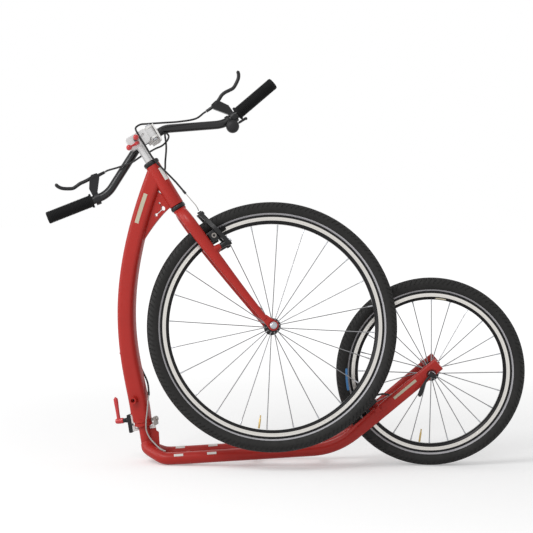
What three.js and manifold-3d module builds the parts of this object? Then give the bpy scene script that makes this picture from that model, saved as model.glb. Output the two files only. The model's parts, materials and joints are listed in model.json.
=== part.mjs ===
// A two-wheeled kick bike with a 26 inch front and a 20 inch rear wheel, folded at its twist joint.
// Millimetres, +Z up. +X runs from the twist joint to the rear wheel.
// The front wheel lies on the -Y side.
import * as THREE from 'three';
import { mergeVertices } from 'three/addons/utils/BufferGeometryUtils.js';
import Module from 'manifold-3d';

const wasm = await Module();
wasm.setup();

// Running gap between pieces that touch or turn in each other, and the overrun of every cut
const seatGap = 0.3;
const cutOverrun = 2;
const weldTolerance = 0.0001;

// How the folded bike lies: lean of the twist axis, and how far fold and steering stand from straight
const foldLeanDegrees = 9.49;
const foldOffsetDegrees = 16;
const steerRestDegrees = 22.8;
const foldJointHeight = 105.2;

// Wheels
const frontTyreRadius = 321.8;
const rearTyreRadius = 245.6;
const tyreSectionHeight = 35.6;
const tyreHalfWidth = 21.5;
const tyreWall = 3;
const beadDepth = 5.5;
const tyreProfileShares = [[0.02, 0.42], [0.25, 0.82], [0.58, 1], [0.88, 0.68]];
const rimHalfWidth = 12;
const rimFlangeThickness = 2.4;
const rimTrackDepth = 12.5;
const rimDepth = 21.5;
const rimBedHalfWidth = 6;
const rimWellDepth = 6.5;
const spokeCount = 24;
const spokeRadius = 1.1;
const spokeSides = 4;
const frontSpokeTurnDegrees = 10.5;
const rearSpokeTurnDegrees = 0;
const hubShellRadius = 13;
const hubFlangeRadius = 20;
const hubFlangeThickness = 3.2;
const hubFlangeInset = 17;
const hubEndRadius = 9.5;
const frontHubHalf = 50;
const rearHubHalf = 55;
const lockNutLength = 4;
const lockNutRadius = 8.2;
const axleRadius = 4.9;
const axleBore = 2.9;
const skewerRadius = 2.4;
const valveRadius = 2.6;
const valveLength = 34;
const frontValveDegrees = 231;
const rearValveDegrees = 262;

// Quick releases
const skewerNutRadius = 9.6;
const skewerNutLength = 9;
const camCupRadius = 10.5;
const camCupLength = 9;
const camRadius = 7;
const camHalfLength = 8;
const leverReach = 64;
const leverNeckWidth = 7;
const leverPaddleWidth = 12;
const leverThickness = 5;
const leverStandOff = 8;

// Head of the front frame, in the plane of the front frame from the middle of the twist joint
const headBottomReach = 97;
const headBottomRise = 566.7;
const headTopReach = 25;
const headTopRise = 677.4;
const headTubeRadius = 19;
const headTubeBore = 16;
const headCupHeight = 12;
const upperCupRadius = 21;
const lowerCupRadius = 19.8;
const steererRadius = 14.3;
const steererBore = 13;

// Main tube from the twist joint up to the head tube
const mainTubeLowWidth = 42;
const mainTubeMidWidth = 34;
const mainTubeTopWidth = 38;
const mainTubeDepth = 40;
const mainTubeCorner = 11;
const mainTubeFootRise = 2;
const mainTubeFootPull = 300;
const mainTubeHeadPull = 300;
const mainTubeFootSlopeDegrees = 11.2;
const mainTubeHeadSlopeDegrees = 20.5;
const mainTubeHeadDrop = 34;
const gussetThickness = 10;
const gussetHoleRadii = [6, 4.4, 2.6];
const portBossRadius = 9;
const portBossHeight = 3;
const portBore = 4.6;
const portDepth = 11;
const portRise = 61;
const rivetRadius = 3.6;
const rivetHeight = 2;
const rivetRises = [122, 187];

// Twist joint between the front frame and the deck
const jointFlangeRadius = 23.5;
const jointFlangeThickness = 8;
const flangeConeDepth = 12.5;
const spindleRadius = 10;
const spindleReach = 46;
const spindleSink = 32;
const spindleChamfer = 2;
const mastRadius = 14.5;
const latchInnerGap = 0.5;
const latchOuterRadius = 30.4;
const latchHalfAngleDegrees = 19;
const upperLatchInnerRadius = 22.5;
const upperLatchSeat = 20.6;
const upperLatchHeight = 23;
const lowerLatchTop = 5.5;
const lowerLatchHeight = 14;
const jawInnerRadius = 31;
const jawThickness = 9.6;
const jawWidth = 17;
const clampBarHeight = 48;
const rearJawHeight = 22;
const rearJawThickness = 7;
const jawBoltRadius = 5.5;
const jawBoltHead = 4;
const studRadius = 3;
const studRise = 9.5;
const washerRadius = 6.6;
const washerLength = 5.5;
const foldHubRadius = 8.6;
const foldHubLength = 17;
const foldHubCapLength = 3.5;
const foldArmLength = 62;
const foldArmRootRadius = 3.8;
const foldArmTipRadius = 5.8;
const foldArmSlantDegrees = 8;

// Deck rails and stays
const railRadius = 16;
const railSpread = 50;
const deckFrontX = 67;
const deckBendX = 503;
const deckBendZ = 48.2;
const deckFrontDrop = 0.2;
const stayBendLength = 62;
const rearAxleX = 747.3;
const stayEndBeyondAxle = 17.5;
const stayEndOverAxle = 27.9;
const stayHeight = 35;
const stayThickness = 17;
const staySeat = 7;
const crossTubeRadius = 11;
const crossTubeXs = [118, 285, 452];
const finThickness = 6;
const finTopDrop = 20;
const finReach = 40;
const dropoutThickness = 6;
const dropoutEyeRadius = 8;
const dropoutEyeBore = 3.6;
const dropoutNotchRadius = 3.4;
const dropoutHoleRadius = 2.6;

// Fork, from the middle of the lower head cup
const forkRake = 46.5;
const forkTyreRoom = 66.8;
const forkRaceHeight = 2.6;
const forkRaceRadius = 17.5;
const forkShoulderDrop = 48;
const forkShoulderSpread = 35.5;
const forkBladeSpread = 39;
const forkFootSeat = 1;
const forkFootInset = 24.6;
const forkTopHalfDepth = 15.5;
const forkTopHalfWidth = 12;
const forkFootHalfDepth = 8;
const forkFootHalfWidth = 6.5;
const forkDropoutThickness = 5.6;
const forkDropoutRadius = 13.5;

// Rim brakes
const brakeTrackInset = 7;
const brakePivotInset = 35;
const brakePivotSpread = 40;
const brakeArmLength = 104;
const brakeArmThickness = 11;
const brakeArmFootRadius = 10.5;
const brakeArmWaist = 15;
const brakeArmShelf = 8;
const brakeArmTipRadius = 7;
const brakeBossRadius = 5.5;
const brakeStandOff = 12;
const brakePadGap = 2.4;
const brakePadThickness = 9;
const brakePadLength = 58;
const brakePadHeight = 10;
const brakePadStudRadius = 3.2;
const brakeTipLean = 6;
const brakeBoltRadius = 4.4;
const brakeBoltHead = 3;

// Stem, from the middle of the lower head cup
const quillRadius = 12.7;
const quillSink = 78;
const stemFootRise = 184;
const stemHeight = 35;
const stemRearReach = 27;
const stemHalfThickness = 15;
const stemCorner = 6;
const turnPivotReach = 42;
const tongueRadius = 10;
const tongueHeight = 23;
const turnLugRadius = 11.6;
const turnBoltRadius = 4;
const turnBoltHeadRadius = 7;
const turnBoltHeadHeight = 4;
const webThickness = 3.8;
const webHeight = 46;
const webNearReach = 11.4;
const barOffset = 44;
const barClampRise = 12;
const barClampRadius = 18;
const barClampLength = 36;
const barClampSplit = 1;
const barClampEar = 9;
const stemSlotLength = 16;
const stemSlotWidth = 6;
const stemSlotDepth = 5;

// Ball levers of the stem
const ballRadius = 7.5;
const ballStalkRadius = 2.6;
const ballHubRadius = 6;
const ballHubHeight = 8;
const upperBallReach = 29;
const lowerBallReach = 24;
const upperBallHubX = -3;
const lowerBallHubX = -6;
const upperBallSeat = 21;
const lowerBallSeat = 10;
const lowerBallTurnDegrees = 9;

// Handlebar, measured along the bar from its middle, and across it towards the brake levers
const barRadius = 11.1;
const barClampedRadius = 12.7;
const barFlatHalf = 38;
const barDropReach = 178;
const barDrop = 70;
const barGripRun = 161;
const barGripTiltDegrees = 9.5;
const barBendLength = 12;
const barSagBendLength = 24;
const gripLength = 120;
const gripRadius = 16;
const gripFlangeRadius = 19;
const gripFlangeLength = 5;
const gripEndWall = 4;
const gripRound = 4;

// Brake levers on the bar
const leverClampInset = 13;
const leverClampLength = 13;
const leverClampRadius = 16.5;
const leverPivotInset = 18;
const leverPivotRise = 52;
const leverPinProud = 1;
const leverBodyThickness = 17;
const leverBodyWidth = 24;
const leverBodyWall = 3.4;
const leverPivotRadius = 3;
const leverEyeRadius = 7;
const leverBarrelRadius = 4.6;
const leverBarrelLength = 22;
const leverBladeLength = 92;
const leverBladeHeight = 9;
const leverBladeWidth = 6.5;

// Bell
const bellInset = 16;
const bellDrop = 20;
const bellDomeRadius = 17;
const bellDomeHeight = 14;
const bellBaseHeight = 5;
const bellStandOff = 15.2;
const bellStrapRadius = 14;
const bellStrapLength = 9;
const bellLeverLength = 24;
const bellLeverWidth = 6;
const bellLeverThickness = 3;

// Brake cables
const cableRadius = 2.5;
const cableLead = 6;

// Routes of the cables, chosen by hand: the frame that carries each place, then its X, Y and Z there.
// Each length of a cable has its name, and the first and last of the places that it runs between.
const frontCableRoute = [
  ['bars', 122, -5, -19], ['bars', 77, -16, -4], ['bars', 43, -24, 12],
  ['steering', 46, 14, 227], ['steering', 26, -5, 233], ['steering', 11, -17, 229],
  ['steering', 8.5, -20, 212],
  ['steering', 8.5, -20.5, 180], ['steering', 8.9, -23, 139], ['steering', 18, -24, 95],
  ['steering', 27, -25, 55],
  ['steering', 32, -28, 22], ['steering', 40, -36, -8], ['steering', 46.5, -39, -26],
  ['steering', 46.5, -30, -34],
  ['steering', 46.5, -17, -36],
];
const frontCableLengths = [['front_cable_bar', 0, 5], ['front_cable_yoke', 5, 9],
  ['front_cable_fork', 9, 17]];
const rearCableRoute = [
  ['bars', -116, -17, -26], ['bars', -78, -20, -33],
  ['steering', -16, 22, 164], ['steering', 14, 34, 164], ['steering', 34, 58, 166],
  ['steering', 60, 71, 190],
  ['steering', 78, 54, 214], ['steering', 80, 32, 204], ['steering', 73, 26, 184],
  ['steering', 57, 23, 152],
  ['steering', 36, 24, 122], ['steering', 20, 26, 100],
  ['front', 31, 26, 628], ['front', 14, 24, 590], ['front', -8, 23.4, 520], ['front', -20, 23.4, 470],
  ['front', -34, 23.4, 400], ['front', -40, 23.4, 320], ['front', -40, 23.4, 240],
  ['front', -32, 23.6, 180],
  ['front', -12, 23.6, 135], ['front', 6, 17, 102], ['front', 15, 0, 76], ['front', 18, -15, 54],
  ['front', 18, -22, 30], ['front', 16, -24, 9], ['front', 17, -25, -17],
  ['rear', 19, -31, 68], ['rear', 32, -37, 54], ['rear', 48, -44, 41], ['rear', 61, -47, 36],
];
const rearCableLengths = [['rear_cable_bar', 0, 6], ['rear_cable_yoke', 6, 10], ['rear_cable_head', 10, 15],
  ['rear_cable_frame', 15, 27], ['rear_cable_fold', 27, 32]];
const rearBrakeCableRoute = [
  ['rearBrake', 29, -58, 118], ['rearBrake', 42, -56, 130], ['rearBrake', 54, -52, 160],
  ['rearBrake', 57, -46, 205],
  ['rearBrake', 55, -39, 245], ['rearBrake', 51, -33, 267], ['rearBrake', 43, -23, 277],
  ['rearBrake', 37, -9, 278],
];
const rearBrakeCableLengths = [['rear_cable_brake', 0, 7]];

// Facet counts
const wheelFacets = 32;
const flangeFacets = 24;
const hubFacets = 16;
const tubeFacets = 12;
const turnedFacets = 14;
const axleFacets = 10;
const bladeFacets = 10;
const barFacets = 10;
const smallFacets = 8;
const cableFacets = 8;
const cableStep = 18;

// Angles
const foldLean = THREE.MathUtils.degToRad(foldLeanDegrees);
const foldOffset = THREE.MathUtils.degToRad(foldOffsetDegrees);
const steerRest = THREE.MathUtils.degToRad(steerRestDegrees);
const quarterTurn = Math.PI / 2;
const halfTurn = Math.PI;

// A point or direction
function vec(x, y, z) {
  return new THREE.Vector3(x, y, z);
}

// Finishes
function finish(color, roughness, metalness) {
  return new THREE.MeshStandardMaterial({ color, roughness, metalness });
}
const redPaint = () => finish(0xc4201c, 0.35, 0.1);
const blackPaint = () => finish(0x1b1b1d, 0.4, 0.2);
const blackPlastic = () => finish(0x1d1d1f, 0.55, 0);
const blackRubber = () => finish(0x232326, 0.85, 0);
const blackCable = () => finish(0x17171a, 0.5, 0);
const silverAlloy = () => finish(0xc9ccd0, 0.35, 0.9);
const castAlloy = () => finish(0xd5d7da, 0.45, 0.8);
const steel = () => finish(0xaeb1b5, 0.3, 1);
const brass = () => finish(0xb59a5e, 0.35, 1);
const redPlastic = () => finish(0xd0202a, 0.3, 0);

// Solids
function solidOf(geometry) {
  const bare = geometry.clone();
  bare.deleteAttribute('normal');
  bare.deleteAttribute('uv');
  const merged = mergeVertices(bare, weldTolerance);
  const corners = merged.index.array;
  const kept = [];
  for (let i = 0; i < corners.length; i += 3) {
    const [a, b, c] = [corners[i], corners[i + 1], corners[i + 2]];
    if (a !== b && b !== c && c !== a) kept.push(a, b, c);
  }
  const vertProperties = Float32Array.from(merged.attributes.position.array);
  const solid = new wasm.Manifold(new wasm.Mesh({ numProp: 3, vertProperties,
    triVerts: Uint32Array.from(kept) }));
  return solid;
}

function geometryOf(solid) {
  const mesh = solid.getMesh();
  const geometry = new THREE.BufferGeometry();
  geometry.setAttribute('position', new THREE.BufferAttribute(Float32Array.from(mesh.vertProperties), 3));
  geometry.setIndex(new THREE.BufferAttribute(Uint32Array.from(mesh.triVerts), 1));
  geometry.computeVertexNormals();
  return geometry;
}

function join(...geometries) {
  return geometryOf(geometries.map(solidOf).reduce((sum, next) => sum.add(next)));
}

function cut(geometry, ...tools) {
  return geometryOf(tools.map(solidOf).reduce((left, tool) => left.subtract(tool), solidOf(geometry)));
}

function keep(geometry, region) {
  return geometryOf(solidOf(geometry).intersect(solidOf(region)));
}

// Six times the signed volume, which is negative when the faces point in
function signedVolume(geometry) {
  const index = geometry.index.array;
  const position = geometry.attributes.position;
  const [a, b, c] = [vec(0, 0, 0), vec(0, 0, 0), vec(0, 0, 0)];
  let total = 0;
  for (let i = 0; i < index.length; i += 3) {
    a.fromBufferAttribute(position, index[i]);
    b.fromBufferAttribute(position, index[i + 1]);
    c.fromBufferAttribute(position, index[i + 2]);
    total += a.dot(b.cross(c));
  }
  return total;
}

function outward(geometry) {
  const merged = geometry.index ? geometry : mergeVertices(geometry, weldTolerance);
  if (signedVolume(merged) < 0) {
    const index = merged.index.array;
    for (let i = 0; i < index.length; i += 3) {
      [index[i], index[i + 1]] = [index[i + 1], index[i]];
    }
  }
  return merged;
}

// A rod along Z from its foot up
function rod(radius, length, facets = smallFacets, topRadius = radius) {
  const geometry = new THREE.CylinderGeometry(topRadius, radius, length, facets);
  return geometry.rotateX(quarterTurn).translate(0, 0, length / 2);
}

// A rod between two points
function rodBetween(from, to, radius, facets = smallFacets, topRadius = radius) {
  const along = to.clone().sub(from);
  const turn = new THREE.Quaternion().setFromUnitVectors(vec(0, 0, 1), along.clone().normalize());
  return rod(radius, along.length(), facets, topRadius).applyQuaternion(turn)
    .translate(from.x, from.y, from.z);
}

// A ring or disc turned about Z from a profile of radius and height
function turned(profile, facets = turnedFacets) {
  const points = profile.map(([radius, height]) => new THREE.Vector2(radius, height));
  return outward(mergeVertices(stripped(new THREE.LatheGeometry(points, facets)), weldTolerance))
    .rotateX(quarterTurn);
}

function turnedRing(profile, facets = turnedFacets) {
  return turned([...profile, profile[0]], facets);
}

function stripped(geometry) {
  geometry.deleteAttribute('normal');
  geometry.deleteAttribute('uv');
  return geometry;
}

// A flat outline in X and Z, given a thickness in Y about its middle
function plateXZ(shape, thickness, curveSegments = smallFacets) {
  const geometry = new THREE.ExtrudeGeometry(shape,
    { depth: thickness, bevelEnabled: false, curveSegments });
  return geometry.translate(0, 0, -thickness / 2).rotateX(quarterTurn);
}

// A flat outline in X and Y, raised along Z
function plateXY(shape, height, curveSegments = smallFacets) {
  return new THREE.ExtrudeGeometry(shape, { depth: height, bevelEnabled: false, curveSegments });
}

function outline(points) {
  return new THREE.Shape(points.map(([across, up]) => new THREE.Vector2(across, up)));
}

function box(sizeX, sizeY, sizeZ) {
  return new THREE.BoxGeometry(sizeX, sizeY, sizeZ);
}

function roundedOutline(width, height, corner) {
  const shape = new THREE.Shape();
  const [right, top] = [width / 2, height / 2];
  shape.moveTo(corner - right, -top);
  shape.lineTo(right - corner, -top);
  shape.absarc(right - corner, corner - top, corner, -quarterTurn, 0, false);
  shape.lineTo(right, top - corner);
  shape.absarc(right - corner, top - corner, corner, 0, quarterTurn, false);
  shape.lineTo(corner - right, top);
  shape.absarc(corner - right, top - corner, corner, quarterTurn, halfTurn, false);
  shape.lineTo(-right, corner - top);
  shape.absarc(corner - right, corner - top, corner, halfTurn, halfTurn + quarterTurn, false);
  return shape;
}

// Sections for lofts, as points across and up
function ovalSection(halfWidth, halfHeight, facets = tubeFacets) {
  return Array.from({ length: facets }, (_, i) => {
    const angle = (2 * halfTurn * i) / facets;
    return [halfWidth * Math.cos(angle), halfHeight * Math.sin(angle)];
  });
}

function boxSection(width, depth, corner, steps = 2) {
  const points = [];
  const centres = [[1, 1], [-1, 1], [-1, -1], [1, -1]];
  centres.forEach(([signX, signY], quadrant) => {
    for (let i = 0; i <= steps; i += 1) {
      const angle = quadrant * quarterTurn + (quarterTurn * i) / steps;
      const x = signX * (width / 2 - corner) + corner * Math.cos(angle);
      const y = signY * (depth / 2 - corner) + corner * Math.sin(angle);
      points.push([x, y]);
    }
  });
  return points;
}

// A closed skin through rings of points, with both ends capped
function loft(rings) {
  const count = rings[0].length;
  const positions = rings.flat().flatMap((p) => [p.x, p.y, p.z]);
  const index = [];
  for (let r = 0; r + 1 < rings.length; r += 1) {
    for (let i = 0; i < count; i += 1) {
      const next = (i + 1) % count;
      const [a, b] = [r * count + i, r * count + next];
      index.push(a, b, a + count, b, b + count, a + count);
    }
  }
  const last = (rings.length - 1) * count;
  for (let i = 1; i + 1 < count; i += 1) {
    index.push(0, i + 1, i, last, last + i, last + i + 1);
  }
  const geometry = new THREE.BufferGeometry();
  geometry.setAttribute('position', new THREE.BufferAttribute(Float32Array.from(positions), 3));
  geometry.setIndex(new THREE.BufferAttribute(Uint32Array.from(index), 1));
  return outward(geometry);
}

// Stations along a bent line: straight runs joined by curves that start and end bendLength from each corner
function bentLine(corners, bendLengths, bendSteps = 5) {
  const stations = [];
  const put = (point, tangent) => stations.push({ point, tangent: tangent.clone().normalize() });
  put(corners[0], corners[1].clone().sub(corners[0]));
  for (let i = 1; i + 1 < corners.length; i += 1) {
    const before = corners[i].clone().sub(corners[i - 1]).normalize();
    const after = corners[i + 1].clone().sub(corners[i]).normalize();
    const start = corners[i].clone().addScaledVector(before, -bendLengths[i - 1]);
    const end = corners[i].clone().addScaledVector(after, bendLengths[i - 1]);
    const bend = new THREE.QuadraticBezierCurve3(start, corners[i], end);
    for (let k = 0; k <= bendSteps; k += 1) {
      put(bend.getPoint(k / bendSteps), bend.getTangent(k / bendSteps));
    }
  }
  const last = corners.length - 1;
  put(corners[last], corners[last].clone().sub(corners[last - 1]));
  return stations;
}

function curveStations(curve, steps) {
  return Array.from({ length: steps + 1 }, (_, i) => ({
    point: curve.getPointAt(i / steps),
    tangent: curve.getTangentAt(i / steps),
  }));
}

// A tube through stations. The section's first direction keeps to the side vector,
// and its second is square to that and to the tube.
function tubeThrough(stations, sectionAt, side) {
  const run = [0];
  for (let i = 1; i < stations.length; i += 1) {
    run.push(run[i - 1] + stations[i].point.distanceTo(stations[i - 1].point));
  }
  const rings = stations.map(({ point, tangent }, i) => {
    const up = side.clone().cross(tangent).normalize();
    const across = tangent.clone().cross(up).normalize();
    const share = run[i] / run[run.length - 1];
    const section = sectionAt(share);
    return section.map(([a, b]) => point.clone().addScaledVector(across, a).addScaledVector(up, b));
  });
  return loft(rings);
}

// Part of a longer curve, between two of its points
class Stretch extends THREE.Curve {
  constructor(whole, from, to) {
    super();
    Object.assign(this, { whole, from, to });
  }

  getPoint(share, target = new THREE.Vector3()) {
    return this.whole.getPoint(mix(this.from, this.to, share), target);
  }
}

// A cable's solid along a curve
function cableAlong(curve, radius) {
  const circle = new THREE.Shape();
  circle.absarc(0, 0, radius, 0, 2 * halfTurn, false);
  const steps = Math.max(3, Math.round(curve.getLength() / cableStep));
  const options = { steps, extrudePath: curve, curveSegments: cableFacets / 2, bevelEnabled: false };
  return outward(mergeVertices(stripped(new THREE.ExtrudeGeometry(circle, options)), weldTolerance));
}

// One run of cable through hand-chosen places, cut into named lengths that meet end to end
function cableRun(places, lengths, radius) {
  const whole = new THREE.CatmullRomCurve3(places, false, 'centripetal');
  const gapShare = seatGap / 2 / whole.getLength();
  const last = places.length - 1;
  return lengths.map(([name, first, end]) => {
    const from = first / last + (first > 0 ? gapShare : 0);
    const to = end / last - (end < last ? gapShare : 0);
    return part(name, cableAlong(new Stretch(whole, from, to), radius), blackCable());
  });
}

function part(name, geometry, material) {
  const mesh = new THREE.Mesh(geometry, material);
  mesh.name = name;
  return mesh;
}

function mix(from, to, share) {
  return from + (to - from) * share;
}

const alongY = vec(0, 1, 0);

// Wheels, turned about Y through their own middle
function tyre(outerRadius) {
  const flange = outerRadius - tyreSectionHeight;
  const bead = rimHalfWidth - rimFlangeThickness - seatGap;
  const outside = tyreProfileShares.map(([rise, width]) => [flange + tyreSectionHeight * rise,
    tyreHalfWidth * width]);
  const half = [[flange - beadDepth, bead], ...outside, [outerRadius, 0]];
  const inside = [[outerRadius - tyreWall, 0], [flange + tyreSectionHeight * 0.5, tyreHalfWidth - tyreWall],
    [flange - beadDepth, bead - tyreWall * 2]];
  const mirrored = (points) => points.map(([radius, across]) => [radius, -across]);
  const profile = [...half, ...mirrored(half.slice(0, -1)).reverse(),
    ...mirrored(inside.slice(1)).reverse(), ...inside];
  return turnedRing(profile, wheelFacets);
}

function rim(flangeRadius) {
  const bed = flangeRadius - rimDepth;
  const track = flangeRadius - rimTrackDepth;
  const wall = rimHalfWidth - rimFlangeThickness;
  const half = [[bed, rimBedHalfWidth], [track, rimHalfWidth], [flangeRadius, rimHalfWidth],
    [flangeRadius, wall], [flangeRadius - rimWellDepth, wall]];
  const other = half.map(([radius, across]) => [radius, -across]).reverse();
  return turnedRing([...half, ...other], wheelFacets);
}

// The rim's bed has flat facets, so spokes and valve stop short of their middles
function bedFlat(bedRadius) {
  return bedRadius * Math.cos(halfTurn / wheelFacets) - 2 * seatGap;
}

// Hub shell with its flanges, and the spokes that run straight out to the rim from each flange in turn
function hubAndSpokes(bedRadius, hubHalf, turnDegrees) {
  const end = hubHalf - lockNutLength - seatGap;
  const flangeOut = hubHalf - hubFlangeInset;
  const flangeIn = flangeOut - hubFlangeThickness;
  const bore = axleRadius + seatGap;
  const half = [[hubShellRadius, flangeIn - hubShellRadius / 2], [hubFlangeRadius, flangeIn],
    [hubFlangeRadius, flangeOut], [hubEndRadius, flangeOut + hubFlangeThickness], [hubEndRadius, end],
    [bore, end]];
  const other = half.map(([radius, across]) => [radius, -across]).reverse();
  const shell = turnedRing([...half, ...other], turnedFacets);
  const spokes = Array.from({ length: spokeCount }, (_, i) => {
    const angle = THREE.MathUtils.degToRad(turnDegrees) + (2 * halfTurn * i) / spokeCount;
    const out = vec(Math.cos(angle), 0, 0).setY(Math.sin(angle));
    const side = i % 2 === 0 ? 1 : -1;
    const foot = out.clone().multiplyScalar(hubFlangeRadius - hubFlangeThickness);
    const head = out.clone().multiplyScalar(bedFlat(bedRadius));
    foot.z = side * (flangeIn + hubFlangeThickness / 2);
    head.z = side * spokeRadius;
    return rodBetween(foot, head, spokeRadius, spokeSides);
  });
  return join(shell, ...spokes);
}

function valve(bedRadius, degrees) {
  const angle = THREE.MathUtils.degToRad(degrees);
  const top = bedFlat(bedRadius);
  const profile = [[0, top], [valveRadius, top], [valveRadius, top - valveLength * 0.7],
    [valveRadius * 0.7, top - valveLength * 0.75], [valveRadius * 0.7, top - valveLength],
    [0, top - valveLength]];
  return turned(profile, cableFacets).rotateY(quarterTurn).rotateZ(angle);
}

// A wheel in its own group, its axle along Y. The flat drawing of spokes and valve is stood up by one turn.
function wheel(prefix, tyreRadius, hubHalf, spokeTurn, valveTurn) {
  const group = new THREE.Group();
  const flange = tyreRadius - tyreSectionHeight;
  const bed = flange - rimDepth;
  const stand = (geometry) => geometry.rotateX(quarterTurn);
  group.add(part(`${prefix}_tyre`, stand(tyre(tyreRadius)), blackRubber()));
  group.add(part(`${prefix}_rim`, stand(rim(flange)), silverAlloy()));
  group.add(part(`${prefix}_hub_and_spokes`, stand(hubAndSpokes(bed, hubHalf, spokeTurn)), steel()));
  group.add(part(`${prefix}_valve`, stand(valve(bed, valveTurn)), brass()));
  return group;
}

// Hollow axle with its two lock nuts, between the dropouts
function axle(hubHalf, dropout) {
  const end = hubHalf + dropout - seatGap;
  const inside = hubHalf - lockNutLength;
  const face = hubHalf - seatGap;
  const half = [[axleRadius, inside], [lockNutRadius, inside], [lockNutRadius, face], [axleRadius, face],
    [axleRadius, end], [axleBore, end]];
  const other = half.map(([radius, across]) => [radius, -across]).reverse();
  return turnedRing([...half, ...other], axleFacets).rotateX(quarterTurn);
}

// Skewer rod with the nut on its -Y end and the cup that the cam bears on at its +Y end
function skewer(hubHalf, dropout) {
  const face = hubHalf + dropout + seatGap;
  const nutEnd = face + skewerNutLength;
  const cupEnd = face + camCupLength;
  const nut = [[0, -nutEnd], [skewerNutRadius * 0.6, -nutEnd], [skewerNutRadius, mix(-nutEnd, -face, 0.4)],
    [skewerNutRadius, -face], [skewerRadius, -face], [skewerRadius, face], [camCupRadius, face],
    [camCupRadius, mix(face, cupEnd, 0.7)], [camCupRadius * 0.8, cupEnd], [0, cupEnd]];
  return turned(nut, axleFacets).rotateX(-quarterTurn);
}

// The quick release's handle, drawn with its cam across X and its paddle down -Z, outboard of the cup in +Y
function quickReleaseHandle() {
  const cam = rod(camRadius, 2 * camHalfLength, smallFacets).translate(0, 0, -camHalfLength)
    .rotateY(quarterTurn);
  const out = leverStandOff / 2;
  const path = new THREE.CatmullRomCurve3([
    vec(0, 0, 0),
    vec(leverNeckWidth * 0.7, out * 0.4, -leverReach * 0.22),
    vec(leverNeckWidth * 0.6, out, -leverReach * 0.5),
    vec(-leverNeckWidth * 0.4, out * 1.3, -leverReach),
  ]);
  const width = (share) => mix(leverNeckWidth, leverPaddleWidth,
    THREE.MathUtils.smoothstep(share, 0.4, 0.75)) / 2;
  const section = (share) => {
    const round = share > 0.97 ? 0.55 : 1;
    return ovalSection(width(share) * round, (leverThickness / 2) * (1 + share * 0.6) * round, smallFacets);
  };
  const handle = tubeThrough(curveStations(path, 10), section, vec(1, 0, 0));
  return join(cam, handle);
}

function quickRelease(prefix, hubHalf, dropout) {
  const group = new THREE.Group();
  group.add(part(`${prefix}_skewer`, skewer(hubHalf, dropout), steel()));
  const lever = new THREE.Group();
  lever.position.y = hubHalf + dropout + seatGap + camCupLength + camRadius + seatGap;
  lever.add(part(`${prefix}_quick_release_lever`, quickReleaseHandle(), blackPaint()));
  group.add(lever);
  return { group, lever };
}

// Deck: two rails from the mast to the rear dropouts, the mast, the fin behind it and the cross tubes
function railStations(side) {
  const at = (x, y, z) => vec(x, side * y, z);
  const deckSlope = (deckBendZ - railRadius - deckFrontDrop) / (deckBendX - deckFrontX);
  const startX = deckFrontX + railRadius * 1.8;
  const startZ = railRadius + deckFrontDrop + deckSlope * (startX - deckFrontX);
  const nose = new THREE.CatmullRomCurve3([
    at(mastRadius * 0.35, mastRadius * 0.3, railRadius * 3.15),
    at(mastRadius * 0.5, mastRadius * 0.8, railRadius * 2.1),
    at(deckFrontX * 0.34, railSpread * 0.6, railRadius * 1.35),
    at(deckFrontX * 0.72, railSpread * 0.93, railRadius * 1.03),
    at(startX, railSpread, startZ),
  ]);
  const deckBend = at(deckBendX, railSpread, deckBendZ);
  const rest = bentLine([at(startX, railSpread, startZ), deckBend, at(stayEndX, staySpread, stayEndZ)],
    [stayBendLength], 4);
  return [...curveStations(nose, 7).slice(0, -1), ...rest];
}

function railSection(share) {
  const flat = THREE.MathUtils.smoothstep(share, 0.62, 0.78);
  const height = mix(railRadius, stayHeight / 2, flat);
  const width = mix(railRadius, stayThickness / 2, flat);
  const squareness = mix(1, 0.82, flat);
  return Array.from({ length: tubeFacets }, (_, i) => {
    const angle = (2 * halfTurn * (i + 0.5)) / tubeFacets;
    const round = (value) => Math.sign(value) * Math.abs(value) ** squareness;
    return [width * round(Math.cos(angle)), height * round(Math.sin(angle))];
  });
}

const rearAxleZ = rearTyreRadius;
const staySpread = rearHubHalf + staySeat;
const stayEndX = rearAxleX + stayEndBeyondAxle;
const stayEndZ = rearAxleZ + stayEndOverAxle;
const stayAngle = Math.atan2(stayEndZ - deckBendZ, stayEndX - deckBendX);

// Places along the near or far stay: distance back from its end, and height over its middle line
function stayPoint(back, over) {
  return vec(
    stayEndX - back * Math.cos(stayAngle) - over * Math.sin(stayAngle),
    0,
    stayEndZ - back * Math.sin(stayAngle) + over * Math.cos(stayAngle),
  );
}

// Ears on the stay's upper edge by the dropout: an eyelet, a notch and two small holes
function dropoutEar(side) {
  const base = stayPoint(stayHeight, stayHeight / 2);
  const ear = plateXZ(roundedOutline(dropoutEyeRadius * 2, dropoutEyeRadius * 3, dropoutEyeRadius * 0.98),
    dropoutThickness, 3);
  return ear.rotateY(quarterTurn - stayAngle - quarterTurn * 0.6)
    .translate(base.x, side * staySpread, base.z);
}

// A place in the plane of the bike, from its reach and rise along the leaning twist axis
function jointPlace(reach, rise) {
  return [reach * Math.cos(foldLean) - rise * Math.sin(foldLean),
    foldJointHeight + reach * Math.sin(foldLean) + rise * Math.cos(foldLean)];
}

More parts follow.
